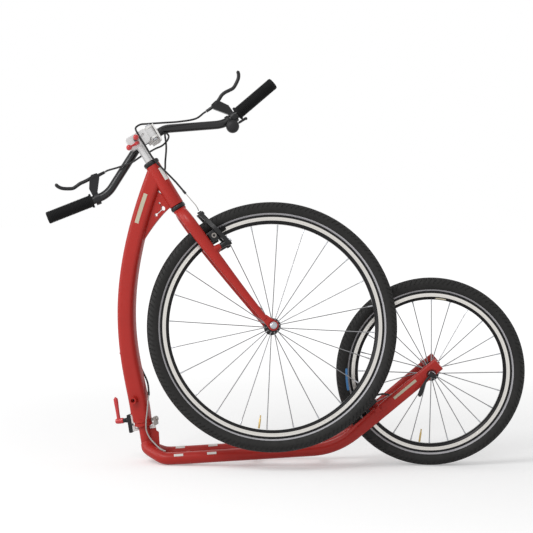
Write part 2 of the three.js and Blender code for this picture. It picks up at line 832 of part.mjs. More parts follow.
function rearFrame() {
  const rails = [-1, 1].map((side) => tubeThrough(railStations(side), railSection, alongY));
  const mastLength = foldJointHeight - railRadius * 2;
  const mast = rod(mastRadius, mastLength, tubeFacets).translate(0, 0, -mastLength);
  const flange = turned([[0, -flangeConeDepth], [mastRadius, -flangeConeDepth],
    [jointFlangeRadius, -jointFlangeThickness], [jointFlangeRadius, -seatGap], [0, -seatGap]],
    flangeFacets);
  const column = join(mast, flange).rotateY(-foldLean).translate(0, 0, foldJointHeight);
  const fin = plateXZ(outline([
    jointPlace(mastRadius * 0.7, -finTopDrop), jointPlace(latchOuterRadius, -finTopDrop),
    jointPlace(latchOuterRadius, -clampBarHeight / 2 - finThickness / 2),
      jointPlace(finReach, -finTopDrop - finReach * 0.4),
    [finReach + mastRadius * 0.6, railRadius * 2.5], [deckFrontX, railRadius * 1.2],
    [mastRadius, railRadius],
  ]), finThickness);
  const noseTube = rodBetween(vec(deckFrontX, -railSpread, railRadius),
    vec(deckFrontX, railSpread, railRadius), crossTubeRadius);
  const deckSlope = (deckBendZ - railRadius) / (deckBendX - deckFrontX);
  const crossTubes = crossTubeXs.map((x) => {
    const z = railRadius + deckSlope * (x - deckFrontX);
    return rodBetween(vec(x, -railSpread, z), vec(x, railSpread, z), crossTubeRadius);
  });
  const bosses = [-1, 1].map((side) => rearBrakeBoss(side));
  const bridge = rearBridge();
  const ears = [-1, 1].map(dropoutEar);
  const body = join(...rails, column, fin, noseTube, ...crossTubes, ...bosses, bridge, ...ears);
  const spindleHole = rod(spindleRadius + seatGap, spindleSink + cutOverrun, hubFacets)
    .translate(0, 0, -spindleSink).rotateY(-foldLean).translate(0, 0, foldJointHeight);
  const cuts = [spindleHole];
  [-1, 1].forEach((side) => {
    const recess = (from, to, radius) => rodBetween(
      vec(rearAxleX, side * from, rearAxleZ), vec(rearAxleX, side * to, rearAxleZ),
      radius, turnedFacets);
    const outerFace = rearHubHalf + dropoutThickness;
    const stayOut = staySpread + stayThickness;
    cuts.push(recess(outerFace, stayOut, camCupRadius + 2 * seatGap + dropoutThickness / 2));
    cuts.push(recess(staySpread - stayThickness, rearHubHalf, hubFlangeRadius + seatGap));
    cuts.push(recess(staySpread - stayThickness, stayOut, axleRadius + seatGap));
    const slot = box(2 * (axleRadius + seatGap), 2 * stayThickness, stayHeight);
    cuts.push(slot.translate(rearAxleX, side * staySpread, rearAxleZ - stayHeight / 2));
    const eye = stayPoint(stayHeight, stayHeight / 2 + dropoutEyeRadius * 0.6);
    const holes = [[eye, dropoutEyeBore],
      [stayPoint(stayHeight * 0.52, stayHeight / 2), dropoutNotchRadius],
      [stayPoint(stayHeight * 1.35, stayHeight * 0.3), dropoutHoleRadius]];
    holes.forEach(([place, radius]) => {
      cuts.push(rodBetween(vec(place.x, side * (staySpread - stayThickness), place.z),
        vec(place.x, side * stayOut, place.z), radius, cableFacets));
    });
  });
  return cut(body, ...cuts);
}

// The rear brake stands on the stays. Its own frame has Z out from the hub along the stay, and X over it.
const stayOver = Math.abs(stayEndOverAxle * Math.cos(stayAngle) - stayEndBeyondAxle * Math.sin(stayAngle));
const rearBrakeOver = stayOver + stayHeight / 2 + brakeStandOff;
const rearTrackRadius = rearTyreRadius - tyreSectionHeight - brakeTrackInset;
const rearBrakePivotReach = Math.sqrt(rearTrackRadius ** 2 - rearBrakeOver ** 2) - brakePivotInset;
const rearBrakeTurn = -(quarterTurn + stayAngle);

function rearBrakeFrame() {
  const group = new THREE.Group();
  group.position.set(rearAxleX, 0, rearAxleZ);
  group.rotation.y = rearBrakeTurn;
  return group;
}

function rearBrakeBoss(side) {
  const foot = stayOver;
  const boss = rodBetween(vec(foot, 0, 0), vec(rearBrakeOver - brakeArmThickness / 2 - seatGap, 0, 0),
    brakeBossRadius * 1.6, smallFacets, brakeBossRadius);
  const post = rodBetween(vec(foot, 0, 0),
    vec(rearBrakeOver + brakeArmThickness / 2 - 3 * seatGap, 0, 0), brakeBossRadius - seatGap, smallFacets);
  const shelf = box(stayHeight * 0.4, 2 * (staySpread - brakePivotSpread), 3 * brakeBossRadius)
    .translate(foot + stayHeight * 0.29, side * (staySpread - brakePivotSpread) * 0.8, 0);
  const whole = join(boss, post, shelf);
  return whole.translate(0, side * brakePivotSpread, rearBrakePivotReach)
    .rotateY(rearBrakeTurn).translate(rearAxleX, 0, rearAxleZ);
}

// Bridge between the stays in front of the tyre
function rearBridge() {
  const reach = rearTyreRadius + crossTubeRadius * 1.6;
  const middle = vec(
    rearAxleX - reach * Math.cos(stayAngle) - stayOver * Math.sin(stayAngle), 0,
    rearAxleZ - reach * Math.sin(stayAngle) + stayOver * Math.cos(stayAngle));
  return rodBetween(middle.clone().setY(-staySpread), middle.clone()
    .setY(staySpread), crossTubeRadius * 0.8);
}

// One arm of a rim brake, in a frame with X along its pivot, Y towards its own side and Z out past the tyre
function brakeArm(side) {
  const shape = new THREE.Shape();
  const lean = -brakeTipLean;
  const tip = brakeArmLength;
  shape.absarc(0, 0, brakeArmFootRadius, halfTurn, 2 * halfTurn, false);
  shape.lineTo(brakeArmFootRadius, brakePivotInset * 0.8);
  shape.quadraticCurveTo(brakeArmFootRadius, brakePivotInset * 1.5, brakeArmWaist * 0.36 + lean / 2,
    tip * 0.6);
  shape.lineTo(lean + brakeArmTipRadius, tip - brakeArmTipRadius);
  shape.absarc(lean, tip - brakeArmTipRadius, brakeArmTipRadius, 0, halfTurn, false);
  shape.lineTo(lean / 2 - brakeArmWaist * 0.36, tip * 0.6);
  shape.lineTo(-brakeArmShelf, brakePivotInset * 1.3);
  shape.lineTo(-brakeArmShelf, brakePivotInset * 0.7);
  const blank = new THREE.ExtrudeGeometry(shape,
    { depth: brakeArmThickness, bevelEnabled: false, curveSegments: 5 });
  const arm = blank.rotateX(quarterTurn).rotateZ(quarterTurn).translate(-brakeArmThickness / 2, 0, 0);
  const boltFoot = rodBetween(vec(brakeArmThickness / 2 + seatGap, 0, 0),
    vec(brakeArmThickness / 2 + brakeBoltHead, 0, 0), brakeBoltRadius, smallFacets);
  const hole = rodBetween(vec(-brakeArmThickness, 0, 0),
    vec(brakeArmThickness / 2 - seatGap * 2, 0, 0), brakeBossRadius, smallFacets);
  const bolt = rodBetween(vec(brakeArmThickness / 2 - seatGap, lean, tip - brakeArmTipRadius),
    vec(brakeArmThickness / 2 + brakeBoltHead, lean, tip - brakeArmTipRadius), brakeBoltRadius,
      smallFacets);
  const cap = boltFoot.translate(-2 * seatGap, 0, 0);
  const whole = cut(join(arm, bolt, cap), hole);
  return side > 0 ? whole : mirroredY(whole);
}

function mirroredY(geometry) {
  const flipped = geometry.clone().scale(1, -1, 1);
  return outward(flipped);
}

// Brake shoe with its stud, in the same frame as its arm
function brakePad(side, trackRise, turn) {
  const inner = rimHalfWidth + brakePadGap - brakePivotSpread;
  const outer = inner + brakePadThickness;
  const block = plateXY(roundedOutline(brakePadLength, brakePadHeight, brakePadHeight * 0.4),
    brakePadThickness, 3)
    .rotateX(quarterTurn).rotateY(turn).translate(0, outer, trackRise);
  const stud = rodBetween(vec(0, outer - seatGap, trackRise),
    vec(0, -brakeArmShelf - seatGap, trackRise), brakePadStudRadius, smallFacets);
  const whole = join(block, stud);
  return side > 0 ? whole : mirroredY(whole);
}

// A pair of brake arms with their pads, given the frame that they stand in and the height of their pivots
function rimBrake(prefix, pivotRise, pivotX, padTurn) {
  const arms = {};
  [['near', -1], ['far', 1]].forEach(([label, side]) => {
    const arm = new THREE.Group();
    arm.position.set(pivotX, side * brakePivotSpread, pivotRise);
    arm.add(part(`${prefix}_brake_arm_${label}`, brakeArm(side), blackPaint()));
    arm.add(part(`${prefix}_brake_pad_${label}`, brakePad(side, brakePivotInset, padTurn), blackRubber()));
    arms[label] = arm;
  });
  return arms;
}

// Twist joint pieces, drawn about the joint's middle with Z along the twist axis
function latchBlock(innerRadius, foot, height, facing) {
  const half = THREE.MathUtils.degToRad(latchHalfAngleDegrees);
  const shape = new THREE.Shape();
  shape.absarc(0, 0, latchOuterRadius, facing - half, facing + half, false);
  shape.absarc(0, 0, innerRadius, facing + half, facing - half, true);
  return plateXY(shape, height, 4).translate(0, 0, foot);
}

// A block on the mast: it hugs the column under the flange and rises past the flange's edge
function lowerLatchBlock(facing) {
  const foot = -lowerLatchTop - lowerLatchHeight;
  const ledge = -flangeConeDepth - 2 * seatGap - foot;
  return join(latchBlock(mastRadius + 2 * latchInnerGap, foot, ledge, facing),
    latchBlock(jointFlangeRadius + latchInnerGap, foot, lowerLatchHeight, facing));
}

function upperLatchBlock() {
  const block = latchBlock(upperLatchInnerRadius, 2 * seatGap, upperLatchHeight, halfTurn);
  return cut(block, rodBetween(vec(-2 * jawInnerRadius, 0, studRise), vec(0, 0, studRise),
    studRadius + seatGap, smallFacets));
}

function spindle() {
  const foot = -spindleSink + seatGap;
  const tip = spindleReach + spindleChamfer;
  const profile = [[0, foot], [spindleRadius, foot], [spindleRadius, spindleReach],
    [spindleRadius * 0.8, tip],
    [0, tip + 2 * seatGap]];
  return turned(profile, hubFacets);
}

function clampStud() {
  const tip = jawInnerRadius + jawThickness + washerLength + foldHubLength;
  const bolt = rodBetween(vec(-tip, 0, studRise),
    vec(-mainTubeLowWidth * 0.4, 0, studRise), studRadius, smallFacets);
  return bolt;
}

function clampBar() {
  const outerRadius = jawInnerRadius + jawThickness;
  const bar = plateXZ(roundedOutline(jawThickness, clampBarHeight, jawThickness * 0.25), jawWidth, 3)
    .translate(-(jawInnerRadius + jawThickness / 2), 0, 0);
  const pin = rodBetween(vec(-jawInnerRadius - seatGap, 0, -jointFlangeThickness * 1.2),
    vec(-latchOuterRadius - seatGap, 0, -jointFlangeThickness * 1.2), studRadius, smallFacets);
  const washer = rodBetween(vec(-outerRadius - washerLength, 0, studRise),
    vec(-outerRadius + seatGap, 0, studRise), washerRadius, turnedFacets);
  const hole = rodBetween(vec(-outerRadius - washerLength - cutOverrun, 0, studRise),
    vec(-jawInnerRadius + cutOverrun, 0, studRise), studRadius + seatGap, smallFacets);
  return cut(join(bar, pin, washer), hole);
}

// Ratchet handle on the stud: hub, end cap and a slim arm with a bulbed end
function foldHandle() {
  const start = jawInnerRadius + jawThickness + washerLength + seatGap;
  const hubEnd = start + foldHubLength;
  const hub = turned([[0, start], [foldHubRadius * 0.8, start], [foldHubRadius, start + foldHubCapLength],
    [foldHubRadius, hubEnd], [foldHubRadius * 0.75, hubEnd + foldHubCapLength],
    [0, hubEnd + foldHubCapLength]], turnedFacets)
    .rotateY(-quarterTurn);
  const middle = -(start + foldHubLength * 0.55);
  const slant = THREE.MathUtils.degToRad(foldArmSlantDegrees);
  const tip = vec(middle - foldArmLength * Math.sin(slant), 0, foldArmLength * Math.cos(slant));
  const root = vec(middle, 0, 0);
  const stations = Array.from({ length: 7 }, (_, i) => ({
    point: root.clone().lerp(tip, i / 6), tangent: tip.clone().sub(root).normalize(),
  }));
  const swellShares = [1.25, 1, 0.95, 1, 1.2, 1.5, 1.05];
  const section = (share) => {
    const radius = foldArmRootRadius * swellShares[Math.round(share * 6)];
    return ovalSection(radius, radius * (foldArmTipRadius / foldArmRootRadius) * 0.75, smallFacets);
  };
  const arm = tubeThrough(stations, section, alongY);
  const hole = rodBetween(vec(-start + cutOverrun, 0, 0),
    vec(-hubEnd - seatGap, 0, 0), studRadius + seatGap, smallFacets);
  return cut(join(hub, arm), hole);
}

// Jaw that stands fixed on the front frame's flange, opposite the clamp bar, with the bolt that holds it
function fixedJaw() {
  const plate = plateXZ(roundedOutline(rearJawThickness, rearJawHeight, rearJawThickness * 0.2), jawWidth,
    2)
    .translate(jawInnerRadius + rearJawThickness / 2, 0, 0);
  const neckHeight = jointFlangeThickness * 0.8;
  const start = jointFlangeRadius + latchInnerGap;
  const neck = box(jawInnerRadius - start + seatGap, jawWidth * 0.7, neckHeight)
    .translate((jawInnerRadius + start + seatGap) / 2, 0,
      seatGap + neckHeight / 2 + (jointFlangeThickness - neckHeight) / 2);
  const face = jawInnerRadius + rearJawThickness - seatGap;
  const bolt = rodBetween(vec(face, 0, studRise / 2), vec(face + jawBoltHead, 0, studRise / 2),
    jawBoltRadius, smallFacets);
  return join(plate, neck, bolt);
}

// Front frame: main tube, head tube, gusset and the upper flange, from the middle of the twist joint
const headBottom = vec(headBottomReach, 0, headBottomRise);
const headTop = vec(headTopReach, 0, headTopRise);
const steerAxis = headTop.clone().sub(headBottom).normalize();
const headLength = headTop.distanceTo(headBottom);
const headAngle = Math.atan2(-steerAxis.x, steerAxis.z);

function mainTubeCurve() {
  const footSlope = THREE.MathUtils.degToRad(mainTubeFootSlopeDegrees);
  const headSlope = THREE.MathUtils.degToRad(mainTubeHeadSlopeDegrees);
  const foot = vec(0, 0, mainTubeFootRise);
  const end = headTop.clone().addScaledVector(steerAxis, -mainTubeHeadDrop);
  const footPull = foot.clone().add(vec(-Math.sin(footSlope), 0, Math.cos(footSlope))
    .multiplyScalar(mainTubeFootPull));
  const headPull = end.clone().sub(vec(Math.sin(headSlope), 0, Math.cos(headSlope))
    .multiplyScalar(mainTubeHeadPull));
  return new THREE.CubicBezierCurve3(foot, footPull, headPull, end);
}

function mainTubeSection(share) {
  const low = THREE.MathUtils.smoothstep(share, 0.06, 0.42);
  const high = THREE.MathUtils.smoothstep(share, 0.7, 1);
  const width = mix(mix(mainTubeLowWidth, mainTubeMidWidth, low), mainTubeTopWidth, high);
  return boxSection(mix(mainTubeDepth, headTubeRadius * 1.7, high), width, mainTubeCorner);
}

function frontFrame() {
  const curve = mainTubeCurve();
  const tube = tubeThrough(curveStations(curve, 13), mainTubeSection, alongY);
  const headTube = rodBetween(headBottom.clone().addScaledVector(steerAxis, headCupHeight / 2 + seatGap),
    headTop.clone().addScaledVector(steerAxis, -headCupHeight / 2 - seatGap), headTubeRadius, hubFacets);
  const flange = rod(jointFlangeRadius, jointFlangeThickness, flangeFacets)
    .translate(0, 0, seatGap).rotateY(-foldLean);
  const apex = curve.getPointAt(0.9);
  const low = curve.getPointAt(0.755);
  const corner = headBottom.clone().addScaledVector(steerAxis, headCupHeight * 0.2);
  const inset = headTubeRadius * 0.5;
  const gussetShape = new THREE.Shape();
  gussetShape.moveTo(apex.x, apex.z);
  gussetShape.lineTo(low.x, low.z);
  gussetShape.lineTo(low.x + mainTubeMidWidth / 2, low.z - inset);
  gussetShape.quadraticCurveTo(mix(low.x, corner.x, 0.58), mix(low.z, corner.z, 0.72) - inset * 0.2,
    corner.x - inset, corner.z - inset * 0.2);
  gussetShape.lineTo(corner.x, corner.z);
  const gusset = plateXZ(gussetShape, gussetThickness, 6);
  const boss = rodBetween(vec(-mainTubeLowWidth * 0.52, -mainTubeDepth / 2 - portBossHeight, portRise),
    vec(-mainTubeLowWidth * 0.52, 0, portRise), portBossRadius, smallFacets);
  const rivets = rivetRises.map((rise) => {
    const place = pointAtRise(curve, rise);
    const face = place.x - mix(mainTubeLowWidth, mainTubeMidWidth, 0.35) / 2;
    return rodBetween(vec(face - rivetHeight, 0, rise), vec(place.x, 0, rise), rivetRadius, cableFacets);
  });
  const body = join(tube, headTube, flange, gusset, boss, ...rivets);
  const headBore = rodBetween(headBottom, headTop, headTubeBore, hubFacets);
  const spindleHole = rod(spindleRadius + seatGap, spindleReach + 3 * seatGap + cutOverrun * 2, hubFacets)
    .translate(0, 0, -cutOverrun).rotateY(-foldLean);
  const underside = box(4 * mainTubeLowWidth, 2 * mainTubeDepth, mainTubeLowWidth)
    .translate(0, 0, -mainTubeLowWidth / 2 + seatGap).rotateY(-foldLean);
  const latchSeat = box(mainTubeLowWidth, mainTubeDepth * 1.2, upperLatchHeight + 4 * seatGap)
    .translate(-mainTubeLowWidth / 2 - upperLatchSeat, 0, upperLatchHeight / 2 + 2 * seatGap)
      .rotateY(-foldLean);
  const studHole = rodBetween(vec(-mainTubeLowWidth, 0, studRise),
    vec(-mainTubeLowWidth * 0.4 + seatGap, 0, studRise), studRadius + seatGap, smallFacets)
      .rotateY(-foldLean);
  const port = rodBetween(vec(-mainTubeLowWidth * 0.52, -mainTubeDepth, portRise),
    vec(-mainTubeLowWidth * 0.52, portDepth - mainTubeDepth / 2, portRise), portBore, smallFacets);
  const holes = gussetHoles(curve).map(([x, z], i) => rodBetween(vec(x, -gussetThickness, z),
    vec(x, gussetThickness, z), gussetHoleRadii[i], smallFacets));
  const cupSeats = [[headBottom, lowerCupRadius, -1],
    [headTop, upperCupRadius, 1]].map(([end, radius, way]) => rodBetween(
    end.clone().addScaledVector(steerAxis, way * headCupHeight), end.clone()
      .addScaledVector(steerAxis, -way * (headCupHeight / 2 + seatGap)),
    radius + seatGap, hubFacets));
  return cut(body, headBore, spindleHole, underside, latchSeat, studHole, port, ...holes, ...cupSeats);
}

// Centres of the gusset's holes, as shares of the way from the main tube to the lower end of the head tube
function gussetHoles(curve) {
  const low = curve.getPointAt(0.755);
  const holeShares = [[0.66, 0.98], [0.44, 0.66], [0.52, 1.2]];
  return holeShares.map(([across, up]) => [
    mix(low.x, headBottom.x - headTubeRadius * 0.4, across),
      mix(low.z, headBottom.z - headCupHeight * 0.2, up)]);
}

function pointAtRise(curve, rise) {
  let best = curve.getPoint(0);
  for (let i = 0; i <= 100; i += 1) {
    const point = curve.getPoint(i / 100);
    if (Math.abs(point.z - rise) < Math.abs(best.z - rise)) best = point;
  }
  return best;
}

function headCup(radius, bore, height) {
  const lip = height * 0.22;
  return turnedRing([[bore, 0], [radius - lip, 0], [radius, lip], [radius, height - lip],
    [radius - lip, height], [bore, height]],
    turnedFacets);
}

// Heights that follow from the tyre and the stem
const forkAxleDrop = frontTyreRadius + forkTyreRoom;
const forkFootDrop = forkAxleDrop - forkFootInset;
const forkFootSpread = frontHubHalf + forkFootSeat;
const stemTopRise = stemFootRise + stemHeight;
const barRise = stemFootRise + barClampRise;
const upperBallRise = stemFootRise + upperBallSeat;
const lowerBallRise = stemFootRise + lowerBallSeat;

// Fork, in a frame whose Z runs up the steering axis from the lower cup and whose X points to the axle
function forkBlade(side) {
  const at = (x, y, z) => vec(x, side * y, z);
  const bladeX = (drop) => forkRake * 0.8 * (drop / forkFootDrop) ** 1.35;
  const knee = forkFootDrop * 0.3;
  const shin = forkFootDrop * 0.68;
  const curve = new THREE.CatmullRomCurve3([
    at(0, steererRadius * 0.15, -forkShoulderDrop * 0.3),
    at(0, forkShoulderSpread * 0.58, -forkShoulderDrop * 0.45),
    at(bladeX(forkShoulderDrop), forkShoulderSpread, -forkShoulderDrop),
    at(bladeX(knee), forkBladeSpread, -knee),
    at(bladeX(shin), mix(forkBladeSpread, forkFootSpread, 0.55), -shin),
    at(bladeX(forkFootDrop), forkFootSpread, -forkFootDrop),
  ], false, 'centripetal');
  const section = (share) => {
    const taper = THREE.MathUtils.smoothstep(share, 0.2, 1.05);
    return ovalSection(mix(forkTopHalfWidth, forkFootHalfWidth, taper),
      mix(forkTopHalfDepth, forkFootHalfDepth, taper), bladeFacets);
  };
  return bladeThrough(curveStations(curve, 10), section);
}

// As tubeThrough, but the section keeps its depth along X
function bladeThrough(stations, sectionAt) {
  const rings = stations.map(({ point, tangent }, i) => {
    const across = tangent.clone().cross(vec(1, 0, 0)).normalize();
    const deep = across.clone().cross(tangent).normalize();
    return sectionAt(i / (stations.length - 1)).map(([a, b]) =>
      point.clone().addScaledVector(across, a).addScaledVector(deep, b));
  });
  return loft(rings);
}

function fork() {
  const steererTop = headLength + headCupHeight / 2 + seatGap;
  const raceFoot = -headCupHeight / 2 - seatGap - forkRaceHeight;
  const steerer = turned([[0, raceFoot - forkShoulderDrop * 0.35],
    [steererRadius, raceFoot - forkShoulderDrop * 0.35],
    [forkRaceRadius, raceFoot], [forkRaceRadius, raceFoot + forkRaceHeight],
    [steererRadius, raceFoot + forkRaceHeight],
    [steererRadius, steererTop], [0, steererTop]], hubFacets);
  const blades = [-1, 1].map(forkBlade);
  const dropouts = [-1, 1].map((side) => {
    const disc = rodBetween(vec(forkRake, side * frontHubHalf, -forkAxleDrop),
      vec(forkRake, side * (frontHubHalf + forkDropoutThickness), -forkAxleDrop), forkDropoutRadius,
        turnedFacets);
    const neckShape = outline([[forkRake - forkDropoutRadius, -forkAxleDrop],
      [forkRake * 0.62, -forkFootDrop + forkFootHalfDepth],
      [forkRake * 0.98, -forkFootDrop + forkFootHalfDepth], [forkRake + forkDropoutRadius, -forkAxleDrop]]);
    const neck = plateXZ(neckShape, forkDropoutThickness)
      .translate(0, side * (frontHubHalf + forkDropoutThickness / 2), 0);
    return join(disc, neck);
  });
  const pivotX = frontBrakePivotX;
  const bosses = [-1, 1].map((side) => {
    const y = side * brakePivotSpread;
    const boss = rodBetween(vec(forkRake * 0.2, y, frontBrakePivotRise),
      vec(pivotX - brakeArmThickness / 2 - seatGap, y, frontBrakePivotRise), brakeBossRadius * 1.6,
        smallFacets);
    const post = rodBetween(vec(forkRake * 0.2, y, frontBrakePivotRise),
      vec(pivotX + brakeArmThickness / 2 - 3 * seatGap, y, frontBrakePivotRise), brakeBossRadius - seatGap,
        smallFacets);
    return join(boss, post);
  });
  const body = join(steerer, ...blades, ...dropouts, ...bosses);
  const cuts = [rod(steererBore, headLength + 2 * headCupHeight, hubFacets)];
  [-1, 1].forEach((side) => {
    cuts.push(box(2 * (axleRadius + seatGap), 4 * forkDropoutThickness, 2 * forkDropoutRadius)
      .translate(forkRake, side * (frontHubHalf + forkDropoutThickness / 2),
        -forkAxleDrop - forkDropoutRadius));
    cuts.push(rodBetween(vec(forkRake, side * (frontHubHalf - forkDropoutThickness), -forkAxleDrop),
      vec(forkRake, side * (frontHubHalf + 2 * forkDropoutThickness), -forkAxleDrop), axleRadius + seatGap,
        hubFacets));
  });
  return cut(body, ...cuts);
}

const frontTrackRadius = frontTyreRadius - tyreSectionHeight - brakeTrackInset;
const frontBrakePivotX = forkRake;
const frontBrakePivotRise = -forkAxleDrop + frontTrackRadius - brakePivotInset;

// Stem: quill, head and the tongue that the bar's yoke turns on
function stem() {
  const height = stemTopRise - stemFootRise;
  const bodyEnd = turnPivotReach - turnLugRadius - 2 * seatGap;
  const length = stemRearReach + bodyEnd;
  const block = plateXZ(roundedOutline(length, height, stemCorner), 2 * stemHalfThickness, 4)
    .translate(bodyEnd - length / 2, 0, (stemTopRise + stemFootRise) / 2);
  const quill = rod(quillRadius, quillSink + stemFootRise - headLength + stemCorner, hubFacets)
    .translate(0, 0, headLength - quillSink);
  const middle = (stemTopRise + stemFootRise) / 2;
  const tongue = join(rod(tongueRadius, tongueHeight, turnedFacets)
    .translate(turnPivotReach, 0, middle - tongueHeight / 2),
    box(turnPivotReach - bodyEnd + stemCorner, 2 * tongueRadius, tongueHeight)
      .translate((turnPivotReach + bodyEnd - stemCorner) / 2, 0, middle));
  const hole = rod(turnBoltRadius + seatGap, 2 * height, smallFacets)
    .translate(turnPivotReach, 0, stemFootRise - height / 2);
  const slotShape = roundedOutline(stemSlotLength, stemSlotWidth, stemSlotWidth * 0.48);
  const slot = plateXZ(slotShape, 2 * stemSlotDepth, 4).rotateY(-quarterTurn / 3)
    .translate(stemRearReach * 0.55, -stemHalfThickness, middle + stemSlotWidth * 0.4);
  return cut(join(block, quill, tongue), hole, slot);
}

function ballLever(reach) {
  const hub = rod(ballHubRadius, ballHubHeight, smallFacets).translate(0, 0, -ballHubHeight / 2);
  const stalk = rodBetween(vec(0, 0, 0), vec(0, -reach, 0), ballStalkRadius * 1.3, cableFacets,
    ballStalkRadius);
  const ball = stripped(new THREE.SphereGeometry(ballRadius, 10, 7)).translate(0, -reach, 0);
  return join(hub, stalk, ball);
}

// Yoke that carries the handlebar: two lugs and a web round the tongue, an arm and half of the clamp
const barClampBore = barClampedRadius + seatGap;

function yokeParts() {
  const height = stemTopRise - stemFootRise;
  const middle = (stemTopRise + stemFootRise) / 2;
  const lugHeight = (height - tongueHeight) / 2 - seatGap;
  const lugShape = new THREE.Shape();
  lugShape.absarc(0, 0, turnLugRadius, halfTurn, 2 * halfTurn, false);
  lugShape.lineTo(turnLugRadius, barOffset - barClampRadius * 0.6);
  lugShape.lineTo(-turnLugRadius, barOffset - barClampRadius * 0.6);
  const lugs = [stemFootRise, stemTopRise - lugHeight].map((foot) => plateXY(lugShape, lugHeight, 6)
    .translate(0, 0, foot));
  const armDepth = barOffset - barClampRadius * 0.6 - tongueRadius - 2 * seatGap;
  const arm = box(2 * (turnLugRadius - seatGap), armDepth, height - 2 * seatGap)
    .translate(0, barOffset - barClampRadius * 0.6 - armDepth / 2, middle);
  const webEnd = barOffset - barClampRadius * 0.75;
  const web = box(webThickness, webNearReach + webEnd, webHeight)
    .translate(tongueRadius + seatGap + webThickness / 2, (webEnd - webNearReach) / 2,
      stemTopRise - webHeight / 2 - 2 * seatGap);
  const clamp = rodBetween(vec(-barClampLength / 2, barOffset, barRise),
    vec(barClampLength / 2, barOffset, barRise), barClampRadius, turnedFacets);
  const ears = box(barClampLength * 0.6, 2 * barClampEar, 2 * (barClampRadius + barClampEar * 0.6))
    .translate(0, barOffset, barRise);
  const bore = rodBetween(vec(-barClampLength, barOffset, barRise),
    vec(barClampLength, barOffset, barRise), barClampBore, hubFacets);
  const boltHole = rod(turnBoltRadius + seatGap, 3 * height, smallFacets)
    .translate(0, 0, stemFootRise - height);
  const wholeClamp = cut(join(clamp, ears), bore);
  const nearHalf = box(4 * barClampLength, 4 * barOffset, 6 * barClampRadius)
    .translate(0, barOffset - 2 * barOffset - barClampSplit / 2, barRise);
  const farHalf = box(4 * barClampLength, 4 * barOffset, 6 * barClampRadius)
    .translate(0, barOffset + 2 * barOffset + barClampSplit / 2, barRise);
  const yoke = cut(join(...lugs, arm, web, keep(wholeClamp, nearHalf)), bore, boltHole);
  return { yoke, cap: keep(wholeClamp, farHalf) };
}

function turnBolt() {
  const foot = stemFootRise - turnBoltHeadHeight - seatGap;
  const top = stemTopRise + turnBoltHeadHeight + seatGap;
  return turned([[0, foot], [turnBoltHeadRadius, foot], [turnBoltHeadRadius, stemFootRise - seatGap],
    [turnBoltRadius, stemFootRise - seatGap], [turnBoltRadius, stemTopRise + seatGap],
    [turnBoltHeadRadius, stemTopRise + seatGap], [turnBoltHeadRadius, top], [0, top]], smallFacets);
}

// Places along the handlebar, worked out from its end inwards
const barHalfLength = barDropReach + barGripRun;
const barGripStart = barHalfLength - gripLength;
const leverClampReach = barGripStart - leverClampInset;
const leverPivotReach = leverClampReach - leverPivotInset;
const bellReach = leverClampReach - bellInset;

// Handlebar, along X about the clamp's middle, its ends dropping in -Z
const gripTilt = THREE.MathUtils.degToRad(barGripTiltDegrees);

function barCorners() {
  const at = (x, z) => vec(x, 0, z);
  const gripEnd = at(barHalfLength, -barDrop + (barHalfLength - barDropReach) * Math.tan(gripTilt));
  const right = [at(barFlatHalf, 0), at(barDropReach, -barDrop), gripEnd];
  const left = right.map((p) => at(-p.x, p.z)).reverse();
  return [...left, ...right];
}

const barStations = bentLine(barCorners(),
  [barSagBendLength, barBendLength, barBendLength, barSagBendLength], 4);

// Middle of the bar at a distance from the stem
function barPointAt(reach) {
  const next = barStations.findIndex(({ point }) => point.x >= reach);
  const [before, after] = [barStations[next - 1].point, barStations[next].point];
  return before.clone().lerp(after, (reach - before.x) / (after.x - before.x));
}

function handlebar() {
  const stations = [...barStations];
  const middle = stations.findIndex(({ point }) => point.x > 0);
  const step = barClampLength / 2 + seatGap * 4;
  const extra = [-step * 1.3, -step, step, step * 1.3].map((x) => (
    { point: vec(x, 0, 0), tangent: vec(1, 0, 0) }));
  stations.splice(middle, 0, ...extra);
  const radiusAt = (x) => (Math.abs(x) <= step ? barClampedRadius : barRadius);
  const rings = stations.map(({ point, tangent }) => {
    const up = vec(0, 1, 0).cross(tangent).normalize();
    return ovalSection(radiusAt(point.x), radiusAt(point.x), barFacets).map(([a, b]) =>
      point.clone().addScaledVector(alongY, a).addScaledVector(up, b));
  });
  return loft(rings);
}

function grip(side) {
  const length = (barHalfLength - barGripStart) / Math.cos(gripTilt) + gripEndWall;
  const bore = barRadius + seatGap;
  const profile = [[0, length], [gripRadius - gripRound, length], [gripRadius, length - gripRound],
    [gripRadius, gripFlangeLength * 1.6], [gripFlangeRadius, gripFlangeLength], [gripFlangeRadius, 0],
    [bore, 0],
    [bore, length - gripEndWall + seatGap], [0, length - gripEndWall + seatGap]];
  const start = barPointAt(barGripStart);
  return turned(profile, turnedFacets).rotateY(side * (quarterTurn - gripTilt))
    .translate(side * start.x, 0, start.z);
}

// Brake lever's bracket: clamp ring on the bar, a forked body up to the pivot and the cable barrel
const leverPivot = vec(leverPivotReach, 0, barPointAt(leverClampReach).z + leverPivotRise);

